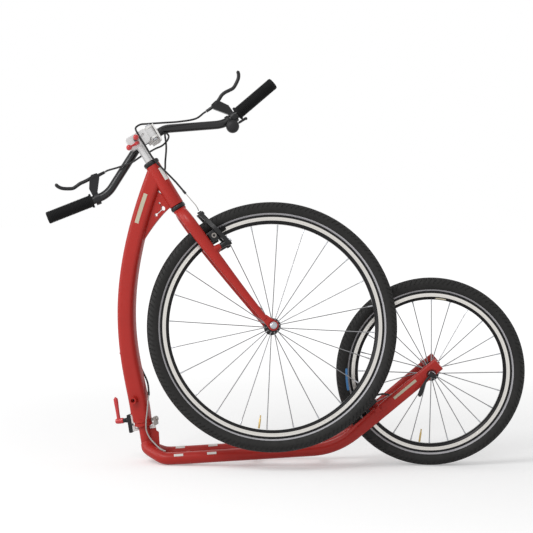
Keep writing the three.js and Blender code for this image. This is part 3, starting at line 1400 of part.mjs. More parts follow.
function leverBracket(side) {
  const centre = barPointAt(leverClampReach);
  const along = vec(Math.cos(gripTilt), 0, Math.sin(gripTilt));
  const ringEnd = (share) => centre.clone().addScaledVector(along, leverClampLength * share);
  const ring = rodBetween(ringEnd(-0.5), ringEnd(0.5), leverClampRadius, turnedFacets);
  const bodyShape = outline([
    [centre.x - leverClampLength * 0.5, centre.z + barRadius],
    [centre.x + leverClampLength * 0.5, centre.z + barRadius],
    [centre.x + leverClampLength * 0.4, centre.z + leverPivotRise * 0.62],
    [leverPivot.x + leverEyeRadius * 1.1, leverPivot.z + leverEyeRadius * 0.6],
    [leverPivot.x, leverPivot.z + leverEyeRadius * 1.2],
    [leverPivot.x - leverBodyWidth * 0.62, leverPivot.z + leverEyeRadius * 0.7],
    [leverPivot.x - leverBodyWidth * 0.62, leverPivot.z - leverEyeRadius * 1.1],
  ]);
  const body = plateXZ(bodyShape, leverBodyThickness);
  const barrelStart = leverPivot.clone().add(vec(-leverBodyWidth * 0.5, 0, -leverEyeRadius * 0.2));
  const barrelEnd = barrelStart.clone().add(vec(-leverBarrelLength, 0, -leverBarrelRadius * 0.3));
  const barrel = rodBetween(barrelStart, barrelEnd, leverBarrelRadius, smallFacets,
    leverBarrelRadius * 0.85);
  const slot = box(leverBodyWidth * 1.4, leverBodyThickness - 2 * leverBodyWall, leverEyeRadius * 3.2)
    .translate(leverPivot.x + leverBodyWidth * 0.36, 0, leverPivot.z);
  const bore = rodBetween(ringEnd(-1.5), ringEnd(1.5), barRadius + seatGap, hubFacets);
  const pinHole = rodBetween(leverPivot.clone().setY(-leverBodyThickness), leverPivot.clone()
    .setY(leverBodyThickness),
    leverPivotRadius, smallFacets);
  const leverPinEnd = leverBodyThickness / 2 + leverPinProud;
  const pin = rodBetween(leverPivot.clone().setY(-leverPinEnd), leverPivot.clone().setY(leverPinEnd),
    leverPivotRadius, smallFacets);
  const whole = join(cut(join(ring, body, barrel), slot, bore, pinHole), pin);
  return side > 0 ? whole : mirroredX(whole);
}

function mirroredX(geometry) {
  return outward(geometry.clone().scale(-1, 1, 1));
}

// The blade, about its own pivot: eye, straight finger run and a turned-out tip
function leverBlade(side) {
  const eyeWidth = leverBodyThickness - 2 * leverBodyWall - 2 * seatGap;
  const eye = rodBetween(vec(0, -eyeWidth / 2, 0), vec(0, eyeWidth / 2, 0), leverEyeRadius, smallFacets);
  const bladeShares = [[0.02, 0.03], [0.22, 0.1], [0.42, 0.05], [0.6, 0.09], [0.82, 0.25], [0.95, 0.42],
    [0.98, 0.52]];
  const path = new THREE.CatmullRomCurve3(bladeShares.map(([out, up]) => (
    vec(leverBladeLength * out, 0, leverBladeLength * up))), false, 'centripetal');
  const section = (share) => {
    const round = share > 0.98 ? 0.6 : 1;
    return ovalSection((leverBladeHeight / 2) * round, (leverBladeWidth / 2) * round, 8);
  };
  const blade = tubeThrough(curveStations(path, 11), section, alongY);
  const hole = rodBetween(vec(0, -leverBodyThickness, 0), vec(0, leverBodyThickness, 0),
    leverPivotRadius + seatGap, smallFacets);
  const whole = cut(join(eye, blade), hole);
  return side > 0 ? whole : mirroredX(whole);
}

// Bell: strap round the bar, base and dome facing -Y below the bar
function bell() {
  const bar = barPointAt(bellReach);
  const strapFrom = bar.clone().add(vec(-bellStrapLength / 2, 0, 0));
  const strapTo = bar.clone().add(vec(bellStrapLength / 2, 0, 0));
  const strap = rodBetween(strapFrom, strapTo, bellStrapRadius, turnedFacets);
  const strapBore = rodBetween(strapFrom.clone().setX(strapFrom.x - cutOverrun), strapTo.clone()
    .setX(strapTo.x + cutOverrun),
    barRadius + 3 * seatGap, hubFacets);
  const domeProfile = [[0, 0], [bellDomeRadius, 0], [bellDomeRadius, bellBaseHeight * 0.6],
    [bellDomeRadius * 0.94, bellBaseHeight],
    [bellDomeRadius, bellBaseHeight + seatGap * 3],
    [bellDomeRadius * 0.93, bellBaseHeight + bellDomeHeight * 0.5],
    [bellDomeRadius * 0.6, bellBaseHeight + bellDomeHeight * 0.9], [0, bellBaseHeight + bellDomeHeight]];
  const dome = turned(domeProfile, turnedFacets).rotateX(quarterTurn)
    .translate(bar.x, -bellStandOff, bar.z - bellDrop);
  const foot = box(bellStrapLength, bellStandOff + bellBaseHeight, bellStrapRadius * 0.5)
    .translate(bar.x, -(bellStandOff + bellBaseHeight) / 2 + bellBaseHeight / 2,
      bar.z - bellStrapRadius * 1.2);
  return cut(join(strap, dome, foot), strapBore);
}

function bellLever() {
  const shape = new THREE.Shape();
  shape.absarc(0, 0, bellLeverWidth / 2, quarterTurn, halfTurn + quarterTurn, false);
  shape.lineTo(bellLeverLength - bellLeverWidth, -bellLeverWidth * 0.45);
  shape.absarc(bellLeverLength - bellLeverWidth * 0.7, 0, bellLeverWidth * 0.7, -quarterTurn, quarterTurn,
    false);
  return plateXZ(shape, bellLeverThickness, 4);
}

// Assembly
const bike = new THREE.Group();
const rear = new THREE.Group();
bike.add(rear);
rear.add(part('rear_frame', rearFrame(), redPaint()));

const joint = new THREE.Group();
joint.position.z = foldJointHeight;
joint.rotation.y = -foldLean;
rear.add(joint);
joint.add(part('fold_spindle', spindle(), steel()));
joint.add(part('lower_latch_block_left', lowerLatchBlock(halfTurn), castAlloy()));
joint.add(part('lower_latch_block_right', lowerLatchBlock(0), castAlloy()));

const rearWheel = wheel('rear', rearTyreRadius, rearHubHalf, rearSpokeTurnDegrees, rearValveDegrees);
rearWheel.position.set(rearAxleX, 0, rearAxleZ);
rear.add(rearWheel);
const rearAxle = part('rear_axle', axle(rearHubHalf, dropoutThickness), steel());
rearAxle.position.copy(rearWheel.position);
rear.add(rearAxle);
const rearRelease = quickRelease('rear', rearHubHalf, dropoutThickness);
rearRelease.group.position.copy(rearWheel.position);
rearRelease.group.rotation.z = halfTurn;
rearRelease.lever.rotation.y = -THREE.MathUtils.degToRad(33);
rear.add(rearRelease.group);

const rearBrake = rearBrakeFrame();
const rearArms = rimBrake('rear', rearBrakePivotReach, rearBrakeOver,
  Math.asin(rearBrakeOver / rearTrackRadius));
rearBrake.add(rearArms.near, rearArms.far);
rear.add(rearBrake);

// Front frame, swung about the twist axis
const front = new THREE.Group();
front.position.z = foldJointHeight;
front.quaternion.setFromAxisAngle(vec(-Math.sin(foldLean), 0, Math.cos(foldLean)), -foldOffset);
bike.add(front);
front.add(part('front_frame', frontFrame(), redPaint()));
const upperJoint = new THREE.Group();
upperJoint.rotation.y = -foldLean;
front.add(upperJoint);
upperJoint.add(part('upper_latch_block', upperLatchBlock(), castAlloy()));
upperJoint.add(part('fixed_jaw', fixedJaw(), castAlloy()));
upperJoint.add(part('clamp_stud', clampStud(), steel()));
upperJoint.add(part('clamp_bar', clampBar(), blackPaint()));
const handle = new THREE.Group();
handle.position.z = studRise;
handle.add(part('fold_lever', foldHandle(), redPlastic()));
upperJoint.add(handle);

// Headset cups in the frame, on the steering axis
const head = new THREE.Group();
head.position.copy(headBottom);
head.rotation.y = -headAngle;
front.add(head);
const lowerCup = part('lower_head_cup', headCup(lowerCupRadius, steererRadius + 2 * seatGap,
  headCupHeight), blackPaint());
lowerCup.position.z = -headCupHeight / 2;
head.add(lowerCup);
const upperCup = part('upper_head_cup', headCup(upperCupRadius, steererRadius + 2 * seatGap,
  headCupHeight), blackPaint());
upperCup.position.z = headLength - headCupHeight / 2;
head.add(upperCup);

// Fork, turned about the steering axis
const steering = new THREE.Group();
steering.rotation.z = steerRest;
head.add(steering);
steering.add(part('fork', fork(), redPaint()));
steering.add(part('stem', stem(), silverAlloy()));
const upperBall = new THREE.Group();
upperBall.position.set(upperBallHubX, -stemHalfThickness - seatGap - ballHubRadius, upperBallRise);
upperBall.add(part('stem_lever_upper', ballLever(upperBallReach), redPlastic()));
steering.add(upperBall);
const lowerBall = new THREE.Group();
lowerBall.position.set(lowerBallHubX, -stemHalfThickness - seatGap - ballHubRadius, lowerBallRise);
lowerBall.rotation.z = -quarterTurn + THREE.MathUtils.degToRad(lowerBallTurnDegrees);
lowerBall.add(part('stem_lever_lower', ballLever(lowerBallReach), redPlastic()));
steering.add(lowerBall);

const frontArms = rimBrake('front', frontBrakePivotRise, frontBrakePivotX, 0);
steering.add(frontArms.near, frontArms.far);

const frontWheel = wheel('front', frontTyreRadius, frontHubHalf, frontSpokeTurnDegrees, frontValveDegrees);
frontWheel.position.set(forkRake, 0, -forkAxleDrop);
steering.add(frontWheel);
const frontAxle = part('front_axle', axle(frontHubHalf, forkDropoutThickness), steel());
frontAxle.position.copy(frontWheel.position);
steering.add(frontAxle);
const frontRelease = quickRelease('front', frontHubHalf, forkDropoutThickness);
frontRelease.group.position.copy(frontWheel.position);
frontRelease.lever.rotation.y = halfTurn;
steering.add(frontRelease.group);

// Yoke and handlebar
const turning = new THREE.Group();
turning.position.x = turnPivotReach;
steering.add(turning);
const { yoke, cap } = yokeParts();
turning.add(part('bar_yoke', yoke, castAlloy()));
turning.add(part('bar_clamp_cap', cap, castAlloy()));
turning.add(part('yoke_bolt', turnBolt(), steel()));

const bars = new THREE.Group();
bars.position.set(0, barOffset, barRise);
turning.add(bars);
bars.add(part('handlebar', handlebar(), blackPaint()));
[['right', 1], ['left', -1]].forEach(([label, side]) => {
  bars.add(part(`grip_${label}`, grip(side), blackRubber()));
  bars.add(part(`lever_bracket_${label}`, leverBracket(side), blackPaint()));
  const blade = new THREE.Group();
  blade.position.set(side * leverPivot.x, 0, leverPivot.z);
  blade.add(part(`brake_lever_${label}`, leverBlade(side), blackPaint()));
  bars.add(blade);
});
bars.add(part('bell', bell(), blackPlastic()));
const thumb = new THREE.Group();
const bellMiddle = barPointAt(bellReach);
thumb.position.set(bellMiddle.x + bellDomeRadius + bellLeverWidth / 2 + seatGap,
  -bellStandOff - bellLeverThickness, bellMiddle.z - bellDrop);
thumb.add(part('bell_lever', bellLever(), blackPlastic()));
bars.add(thumb);

// Brake cables, along their route as the bike stands folded
bike.updateMatrixWorld(true);
const leverExit = leverPivotReach - leverBodyWidth * 0.5 - leverBarrelLength - 3 * seatGap;
const leverExitRise = leverPivot.z - leverEyeRadius * 0.2 - leverBarrelRadius * 0.3;
const frames = { bars, steering, front, rear, rearBrake };
const outOfLever = (side) => [leverExit,
  leverExit - cableLead].map((reach) => ['bars', side * reach, 0, leverExitRise]);
const placed = (route) => route.map(([frame, x, y, z]) => frames[frame].localToWorld(vec(x, y, z)));
const frontRun = cableRun(placed([...outOfLever(1), ...frontCableRoute]), frontCableLengths, cableRadius);
const rearRun = cableRun(placed([...outOfLever(-1), ...rearCableRoute]), rearCableLengths, cableRadius);
const brakeRun = cableRun(placed(rearBrakeCableRoute), rearBrakeCableLengths, cableRadius);
bike.add(...frontRun, ...rearRun, ...brakeRun);

// Stand the whole on Z 0 with the origin under the middle of its box
bike.updateMatrixWorld(true);
const bounds = new THREE.Box3().setFromObject(bike, true);
const middle = bounds.getCenter(new THREE.Vector3());
bike.position.set(-middle.x, -middle.y, -bounds.min.z);

export default bike;
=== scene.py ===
"""Looks of a folded kick bike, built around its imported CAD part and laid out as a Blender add-on."""

import json
from math import atan2, copysign, cos, hypot, pi, radians, sin, sqrt, tan

import bmesh
import bpy
from mathutils import Matrix, Vector
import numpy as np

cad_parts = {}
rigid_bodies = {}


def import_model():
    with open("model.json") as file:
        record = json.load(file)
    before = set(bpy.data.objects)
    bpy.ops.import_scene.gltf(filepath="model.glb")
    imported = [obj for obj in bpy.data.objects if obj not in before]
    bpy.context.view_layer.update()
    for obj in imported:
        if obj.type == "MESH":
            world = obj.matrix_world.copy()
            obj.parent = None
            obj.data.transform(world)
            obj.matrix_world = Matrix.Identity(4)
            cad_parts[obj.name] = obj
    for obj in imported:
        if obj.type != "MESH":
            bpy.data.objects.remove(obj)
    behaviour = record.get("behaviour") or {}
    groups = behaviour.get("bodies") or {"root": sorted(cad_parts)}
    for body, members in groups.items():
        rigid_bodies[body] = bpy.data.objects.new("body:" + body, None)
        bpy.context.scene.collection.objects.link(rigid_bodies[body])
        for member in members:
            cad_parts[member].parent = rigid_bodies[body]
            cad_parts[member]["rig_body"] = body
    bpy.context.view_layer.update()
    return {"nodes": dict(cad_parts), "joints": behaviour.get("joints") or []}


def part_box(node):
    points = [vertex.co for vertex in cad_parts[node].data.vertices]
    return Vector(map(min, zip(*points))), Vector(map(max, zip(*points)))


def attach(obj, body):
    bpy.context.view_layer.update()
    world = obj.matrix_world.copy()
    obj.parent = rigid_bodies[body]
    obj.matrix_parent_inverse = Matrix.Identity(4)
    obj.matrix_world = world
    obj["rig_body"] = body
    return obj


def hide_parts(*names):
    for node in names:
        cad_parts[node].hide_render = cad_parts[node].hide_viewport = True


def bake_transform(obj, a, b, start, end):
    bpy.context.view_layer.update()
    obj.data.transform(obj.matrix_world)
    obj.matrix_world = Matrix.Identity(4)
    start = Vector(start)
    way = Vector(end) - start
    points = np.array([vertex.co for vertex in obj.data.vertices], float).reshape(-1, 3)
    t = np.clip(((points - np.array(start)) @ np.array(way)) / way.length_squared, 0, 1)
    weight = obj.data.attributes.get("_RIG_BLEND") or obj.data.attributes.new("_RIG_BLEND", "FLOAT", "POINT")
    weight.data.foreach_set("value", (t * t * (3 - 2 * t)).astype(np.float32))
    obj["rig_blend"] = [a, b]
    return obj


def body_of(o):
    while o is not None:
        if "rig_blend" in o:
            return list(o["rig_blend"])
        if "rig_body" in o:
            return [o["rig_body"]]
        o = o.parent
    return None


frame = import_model()

bl_info = {
    "name": "Kick Bike Looks",
    "version": (1, 0, 0),
    "blender": (4, 5, 0),
    "location": "View3D > Sidebar > Kick Bike",
    "description": "Builds the visible pieces, finishes and studio of a folded kick bike",
    "category": "Object",
}

MM = 0.001
FULL = 2 * pi

# Sizes of the CAD part that the smooth pieces repeat, in millimetres
LEAN = radians(9.49)
FRONT_TYRE, REAR_TYRE = 321.8, 245.6
TYRE_HEIGHT = 35.6
RIM_HALF, RIM_DEPTH = 12.0, 21.5
# The bare track ends 4.2 mm below the rim's edge. The band above it, next to the tyre, is made black, though the real
# track runs on to the edge
TRACK_START, TRACK_END = 8.4, 17.3
BAND_START, BAND_END = 1.6, 5.8
FRONT_HUB_HALF, REAR_HUB_HALF = 50.0, 55.0
SPOKES = 24
FRONT_PHASE, REAR_PHASE = 10.5, 0.0
HEAD_BOTTOM, HEAD_TOP = Vector((97.0, 0.0, 566.7)), Vector((25.0, 0.0, 677.4))
HEAD_AXIS = (HEAD_TOP - HEAD_BOTTOM).normalized()
RAKE, AXLE_DROP = 46.5, 388.6
DECK_FRONT, DECK_BEND, DECK_BEND_Z = 67.0, 503.0, 48.2
RAIL_RADIUS, RAIL_SPREAD = 16.0, 50.0
FLOOR_GAP = 0.2
RAIL_SLOPE = (DECK_BEND_Z - RAIL_RADIUS - FLOOR_GAP) / (DECK_BEND - DECK_FRONT)
STAY_END = (764.8, 273.5)
STAY_SPREAD, STAY_HEIGHT, STAY_THICK = 62.0, 35.0, 17.0
STAY_ANGLE = atan2(STAY_END[1] - DECK_BEND_Z, STAY_END[0] - DECK_BEND)
REAR_AXLE_X = 747.3
MAST_RADIUS = 14.5
BAR_DROP, BAR_REACH, BAR_HALF, BAR_FLAT = 70.0, 178.0, 339.0, 38.0
GRIP_START, GRIP_TILT = 219.0, radians(9.5)
BRAKE_PIVOT, FRONT_PIVOT_DROP, REAR_PIVOT_RISE = 40.0, 144.4, 165
JOINT_RADIUS, CUP_HEIGHT = 23.5, 6.3
CABLE_RADIUS, HOUSING_RADIUS, WIRE_RADIUS, FERRULE_RADIUS = 2.5, 1.9, 1.1, 3.1

# Fitted to the photo: the main tube's width at its foot, middle and head, the cable port's place, how far the
# front brake arms stand out and lean, and the camera
TUBE_LOW, TUBE_MIDDLE, TUBE_TOP = 49.0, 44.5, 46.0
PORT_X, PORT_RISE, PORT_RADIUS = -17.0, 61, 5.2
ARM_OUT, ARM_LEAN = 13.0, 0.22
CAMERA_PLACE, CAMERA_LENS = (374.1, -6300.5, 1036.9), 164.4
CAMERA_YAW, CAMERA_PITCH, CAMERA_ROLL = radians(-0.51), radians(4.73), radians(0.52)

# The finishes' lumps in millimetres: drift of shade, uneven gloss and tool marks
DRIFT_MM, GLOSS_MM, MARK_MM = 38, 9, 0.6
COAT_ROUGHNESS = 0.18

# The angle in degrees past which an edge stays sharp
SHARP = 32


# Frames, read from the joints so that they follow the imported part
def joint(name):
    return next(j for j in frame["joints"] if j["name"] == name)


def basis(origin, x, z):
    """A matrix from local millimetres to metres in the row frame, with the given X and Z directions."""
    z = Vector(z).normalized()
    y = z.cross(Vector(x)).normalized()
    x = y.cross(z)
    place = Matrix((x, y, z)).transposed().to_4x4()
    return Matrix.Translation(Vector(origin)) @ place @ Matrix.Scale(MM, 4)


def direction(name, sign=1):
    return Vector(joint(name)["axis"]) * sign


FOLD = Vector(joint("fold")["pos_m"])
WORLD = Matrix.Translation((FOLD.x, FOLD.y, 0)) @ Matrix.Scale(MM, 4)
MAST = basis(FOLD, (1, 0, 0), direction("fold", -1))
CLAMP = basis(FOLD, direction("clamp_slide", -1), direction("fold", -1))
FRONT = CLAMP @ Matrix.Rotation(LEAN, 4, "Y")
STEER = basis(joint("steer")["pos_m"], direction("bar_roll", -1), direction("steer", -1))
BAR = basis(joint("bar_roll")["pos_m"], direction("bar_roll", -1), direction("steer", -1))
REAR_HUB = basis(joint("rear_wheel_spin")["pos_m"], (1, 0, 0), (0, 0, 1))
FRONT_HUB = basis(joint("front_wheel_spin")["pos_m"], direction("bar_roll", -1), direction("steer", -1))
OUT_OF_STAY = direction("rear_arm_near_close", -1)
REAR_BRAKE = basis(joint("rear_wheel_spin")["pos_m"], OUT_OF_STAY, OUT_OF_STAY.cross(Vector((0, 1, 0))))


# Colours and finishes
def linear(colour, alpha=1.0):
    """An sRGB colour, as hex text or three shares, made linear for the shaders."""
    if isinstance(colour, str):
        colour = [int(colour[i:i + 2], 16) / 255 for i in (1, 3, 5)]
    shares = (c / 12.92 if c <= 0.04045 else ((c + 0.055) / 1.055) ** 2.4 for c in colour[:3])
    return tuple(shares) + (alpha,)


def add(tree, kind, inputs=None, **settings):
    """One shader node with its settings, its constants and the sockets that feed it."""
    made = tree.nodes.new(kind)
    for name, value in settings.items():
        setattr(made, name, value)
    for name, value in (inputs or {}).items():
        if isinstance(value, bpy.types.NodeSocket):
            tree.links.new(value, made.inputs[name])
        else:
            made.inputs[name].default_value = value
    return made


def blank(name):
    """A new material with only its shader, and the shader's node."""
    material = bpy.data.materials.new(name)
    material.use_nodes = True
    tree = material.node_tree
    tree.nodes.clear()
    shader = add(tree, "ShaderNodeBsdfPrincipled")
    add(tree, "ShaderNodeOutputMaterial", {"Surface": shader.outputs["BSDF"]})
    return material, tree, shader


def noise(tree, size_mm, detail=2.0, stretch=None):
    """Noise whose lumps are size_mm across, on the object's own coordinates."""
    where = add(tree, "ShaderNodeTexCoord").outputs["Object"]
    if stretch:
        where = add(tree, "ShaderNodeMapping", {"Vector": where, "Scale": stretch}).outputs["Vector"]
    lumps = {"Vector": where, "Scale": 1 / (size_mm * MM), "Detail": detail}
    return add(tree, "ShaderNodeTexNoise", lumps).outputs["Fac"]


def spread(tree, value, low, high):
    """Noise, which stays near its middle, mapped onto low to high."""
    ends = {"Value": value, "From Min": 0.3, "From Max": 0.7, "To Min": low, "To Max": high}
    return add(tree, "ShaderNodeMapRange", ends).outputs["Result"]


def finish(title, colour, roughness, metallic=0.0, grain_mm=1.0, grain_height=0.0, wear=0.05, shade=0.12, coat=0.0,
           gloss=0.5):
    """A finish with a fine grain, uneven gloss and a slight drift of shade, as every handled surface has."""
    material, tree, shader = blank(title)
    values = {"Metallic": metallic, "Coat Weight": coat, "Coat Roughness": COAT_ROUGHNESS,
              "Specular IOR Level": gloss}
    for name, value in values.items():
        shader.inputs[name].default_value = value
    base = linear(colour)
    darker = tuple(c * (1 - shade) for c in base[:3]) + (1,)
    drift = add(tree, "ShaderNodeMix", {"Factor": spread(tree, noise(tree, DRIFT_MM, 3), 0, 1)}, data_type="RGBA")
    drift.inputs["A"].default_value = base
    drift.inputs["B"].default_value = darker
    tree.links.new(drift.outputs["Result"], shader.inputs["Base Color"])
    uneven = spread(tree, noise(tree, GLOSS_MM, 4), roughness - wear, roughness + wear)
    tree.links.new(uneven, shader.inputs["Roughness"])
    if grain_height:
        grain = {"Height": noise(tree, grain_mm, 2), "Distance": grain_height * MM, "Strength": 1.0}
        tree.links.new(add(tree, "ShaderNodeBump", grain).outputs["Normal"], shader.inputs["Normal"])
    return material


def brushed(name, colour, roughness, attribute=None):
    """Bare metal whose fine tool marks run round the wheel or along the piece."""
    material, tree, shader = blank(name)
    shader.inputs["Base Color"].default_value = linear(colour)
    shader.inputs["Metallic"].default_value = 1.0
    marks = noise(tree, MARK_MM, 3, (1.0, 14.0, 1.0))
    if attribute:
        along = add(tree, "ShaderNodeAttribute", attribute_name=attribute).outputs["Fac"]
        rings = {"W": along, "Scale": 2200.0, "Detail": 3.0}
        marks = add(tree, "ShaderNodeTexNoise", rings, noise_dimensions="1D").outputs["Fac"]
    tree.links.new(spread(tree, marks, roughness - 0.1, roughness + 0.12), shader.inputs["Roughness"])
    bump = add(tree, "ShaderNodeBump", {"Height": marks, "Distance": 0.02 * MM, "Strength": 0.6})
    tree.links.new(bump.outputs["Normal"], shader.inputs["Normal"])
    return material


FINISHES = {}


def build_finishes(look):
    """Every finish of the bike, named for what it is on the real thing."""
    # Powder coat: saturated red with a satin gloss and the faint orange peel of baked powder
    FINISHES["red_paint"] = finish("Red powder coat", look.paint, 0.4, grain_mm=1.6, grain_height=0.035, shade=0.06,
                                   coat=0.05, gloss=0.3)
    # Painted black metal of levers, bar and brakes: soft highlights, so their edges read against each other
    FINISHES["black_paint"] = finish("Black satin paint", "#141416", 0.36, grain_mm=0.9, grain_height=0.02,
                                     gloss=0.35)
    # Stove enamel of the handlebar: smooth and glossy, so the studio draws a light line along it
    FINISHES["bar_enamel"] = finish("Gloss black enamel", "#121214", 0.3, gloss=0.45)
    # Moulded black plastic of the bell and caps: duller than the painted metal
    FINISHES["black_plastic"] = finish("Black moulded plastic", "#161618", 0.5, grain_mm=0.5, grain_height=0.02,
                                       gloss=0.35)
    # Tread and sidewall rubber: dark and dry, with a fine grain that breaks the highlight
    FINISHES["tyre_rubber"] = finish("Tyre rubber", look.rubber, 0.66, grain_mm=0.7, grain_height=0.08, wear=0.08,
                                     shade=0.25, gloss=0.3)
    # Pale reflex band round the sidewall, which catches the light as a thin ring
    FINISHES["reflex"] = finish("Reflex band", "#BDBCC0", 0.42, grain_mm=0.5, grain_height=0.02)
    # Grip and pad rubber: slightly greyer and softer than the tyres
    FINISHES["black_rubber"] = finish("Grip rubber", "#0F0F10", 0.72, grain_mm=0.6, grain_height=0.05, gloss=0.2)
    # Brake track turned bare: bright, with fine marks running round the rim
    FINISHES["rim_track"] = brushed("Turned brake track", "#D6D3CE", 0.34, "radius")
    # Anodised black body of the rim. It also covers the band between the bare track and the rim's edge next to the
    # tyre, which is made black here, though the real track runs on to the edge
    FINISHES["rim_black"] = finish("Black anodised rim", "#141416", 0.34, 0.3, grain_mm=0.8, grain_height=0.01,
                                   gloss=0.35)
    # Stainless spokes: thin grey lines that darken where they face down
    FINISHES["spoke"] = brushed("Stainless spoke", "#8A8A8C", 0.34)
    # Blasted and lacquered alloy of the latches and yoke: nearly white, without a mirror
    FINISHES["cast_alloy"] = finish("Blasted alloy", "#E6E5E3", 0.46, 0.25, shade=0.05)
    # Silver lacquer on the stem
    FINISHES["silver_alloy"] = finish("Silver lacquer", "#D9D8D8", 0.34, 0.45, shade=0.06, coat=0.1)
    # Bare forged jaw: a warm mid grey
    FINISHES["forged_steel"] = finish("Forged steel", "#96908B", 0.44, 0.5, shade=0.15)
    # Zinc plate on axles, bolts and pins
    FINISHES["steel"] = brushed("Zinc plated steel", "#B4B6BA", 0.32)
    # Valve brass, dull from handling
    FINISHES["brass"] = brushed("Brass", "#B9A06A", 0.34)
    # Glossy moulded red of the knobs and the fold lever
    FINISHES["red_plastic"] = finish("Red moulded plastic", "#C4161C", 0.26, shade=0.05, coat=0.5)
    # Cable housing: black, faintly glossy outer
    FINISHES["cable_sheath"] = finish("Cable housing", "#131315", 0.4, gloss=0.4)
    # Grey housing of the lower rear cable, and the bare wire of the front one
    FINISHES["cable_wire"] = finish("Silver cable housing", "#A7A5A1", 0.36, 0.35, grain_mm=0.6, grain_height=0.02)
    # Pale grip pads stuck on the rails, and the plain strips on the tubes
    FINISHES["grip_pad"] = finish("Pale grip pad", "#F2EFEA", 0.8, grain_mm=1.6, grain_height=0.3, shade=0.3)
    FINISHES["strip"] = finish("Cream strip", "#C3BBA4", 0.5, shade=0.08)
    FINISHES["white_strip"] = finish("White strip", "#FBF9F5", 0.5, shade=0.03)
    FINISHES["blue_patch"] = finish("Blue rubber patch", "#4A86C0", 0.6, shade=0.1)


class Step:
    """What every step of the build does: sees that the finishes are there, then makes its own pieces."""

    def execute(self, context):
        look = context.scene.kick_bike_look
        if not FINISHES:
            build_finishes(look)
        self.build(look)
        return {"FINISHED"}


# Meshes
def piece(name, bm, place, finishes, body, nodes=(), sharp=SHARP):
    """A finished object from a mesh in local millimetres: placed, shaded, given its finishes and its CAD body."""
    bm.transform(place)
    bmesh.ops.recalc_face_normals(bm, faces=bm.faces)
    mesh = bpy.data.meshes.new(name)
    bm.to_mesh(mesh)
    bm.free()
    for key in finishes:
        mesh.materials.append(FINISHES[key])
    mesh.shade_smooth()
    mesh.set_sharp_from_angle(angle=radians(sharp))
    made = bpy.data.objects.new(name, mesh)
    bpy.context.scene.collection.objects.link(made)
    if body:
        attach(made, body)
    if nodes:
        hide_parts(*nodes)
    return made


def dress(bm, before, material):
    """Gives a finish to the faces that weren't there before."""
    for face in bm.faces:
        if face not in before:
            face.material_index = material


def drawn_on(bm, edges):
    """Extrudes a ring once. Gives the new ring's vertices and edges."""
    made = bmesh.ops.extrude_edge_only(bm, edges=edges)["geom"]
    verts = {v for v in made if isinstance(v, bmesh.types.BMVert)}
    return verts, [e for e in made if isinstance(e, bmesh.types.BMEdge) and verts.issuperset(e.verts)]


def sweep(bm, stations, section, side=(0, 1, 0), material=0):
    """A tube along (point, tangent) stations, extruded from its first ring.

    section(share) gives the ring's points across and up at a share of the length."""
    before = set(bm.faces)
    side = Vector(side)
    run = [0.0]
    for (p, _), (q, _) in zip(stations, stations[1:]):
        run.append(run[-1] + (q - p).length)
    ring = []
    for (point, tangent), length in zip(stations, run):
        up = side.cross(tangent).normalized()
        across = tangent.cross(up).normalized()
        places = [point + across * a + up * b for a, b in section(length / run[-1])]
        if ring:
            fresh, edges = drawn_on(bm, edges)
            ring = [next(e.other_vert(v) for e in v.link_edges if e.other_vert(v) in fresh) for v in ring]
            for vert, place in zip(ring, places):
                vert.co = place
        else:
            ring = [bm.verts.new(place) for place in places]
            ends = edges = [bm.edges.new(pair) for pair in zip(ring, ring[1:] + ring[:1])]
    bmesh.ops.holes_fill(bm, edges=ends + edges, sides=0)
    dress(bm, before, material)


def hose(bm, line, radius, sides=14, material=0):
    """A round hose along (point, tangent) stations, drawn forward with the least turning."""
    before = set(bm.faces)
    point, tangent = line[0]
    turn = Vector((0, 0, 1)).rotation_difference(tangent).to_matrix().to_4x4()
    ring = bmesh.ops.create_circle(bm, segments=sides, radius=radius, matrix=Matrix.Translation(point) @ turn)["verts"]
    ends = edges = list({e for v in ring for e in v.link_edges})
    for (p, t), (q, u) in zip(line, line[1:]):
        ring, edges = drawn_on(bm, edges)
        move = Matrix.Translation(q) @ t.rotation_difference(u).to_matrix().to_4x4() @ Matrix.Translation(-p)
        bmesh.ops.transform(bm, matrix=move, verts=list(ring))
    bmesh.ops.holes_fill(bm, edges=ends + edges, sides=0)
    dress(bm, before, material)


def oval(half_width, half_height, sides=32):
    return [(half_width * cos(FULL * i / sides), half_height * sin(FULL * i / sides)) for i in range(sides)]


def block(half_across, half_up, corner, steps=6):
    """A rounded box section."""
    points = []
    for quadrant, (sx, sy) in enumerate([(1, 1), (-1, 1), (-1, -1), (1, -1)]):
        for i in range(steps + 1):
            angle = quadrant * pi / 2 + pi / 2 * i / steps
            points.append((sx * (half_across - corner) + corner * cos(angle),
                           sy * (half_up - corner) + corner * sin(angle)))
    return points


def rounded(bm, edges, bevel, steps=3, clamp=False):
    """Rounds edges. The new faces take their finish from the faces beside them."""
    bmesh.ops.bevel(bm, geom=list(edges), offset=bevel, segments=steps, profile=0.5, material=-1, affect="EDGES",
                    clamp_overlap=clamp)


def rod(bm, start, end, radius, sides=24, end_radius=None, material=0, bevel=0.0):
    """A rod between two points, its rims rounded."""
    before = set(bm.faces)
    start, end = Vector(start), Vector(end)
    axis = end - start
    turn = Vector((0, 0, 1)).rotation_difference(axis).to_matrix().to_4x4()
    top = radius if end_radius is None else end_radius
    made = bmesh.ops.create_cone(bm, cap_ends=True, segments=sides, radius1=radius, radius2=top, depth=axis.length,
                                 matrix=Matrix.Translation((start + end) / 2) @ turn)["verts"]
    if bevel:
        rims = {e for v in made for f in v.link_faces if len(f.verts) > 4 for e in f.edges}
        rounded(bm, rims, bevel)
    dress(bm, before, material)


def box(bm, centre, size, bevel=0.0, material=0, turn=None):
    """A box about a centre, its edges rounded."""
    before = set(bm.faces)
    place = Matrix.Translation(centre) @ (turn or Matrix.Identity(4)) @ Matrix.Diagonal((*size, 1))
    made = bmesh.ops.create_cube(bm, size=1, matrix=place)["verts"]
    if bevel:
        edges = {e for v in made for e in v.link_edges}
        rounded(bm, edges, bevel)
    dress(bm, before, material)


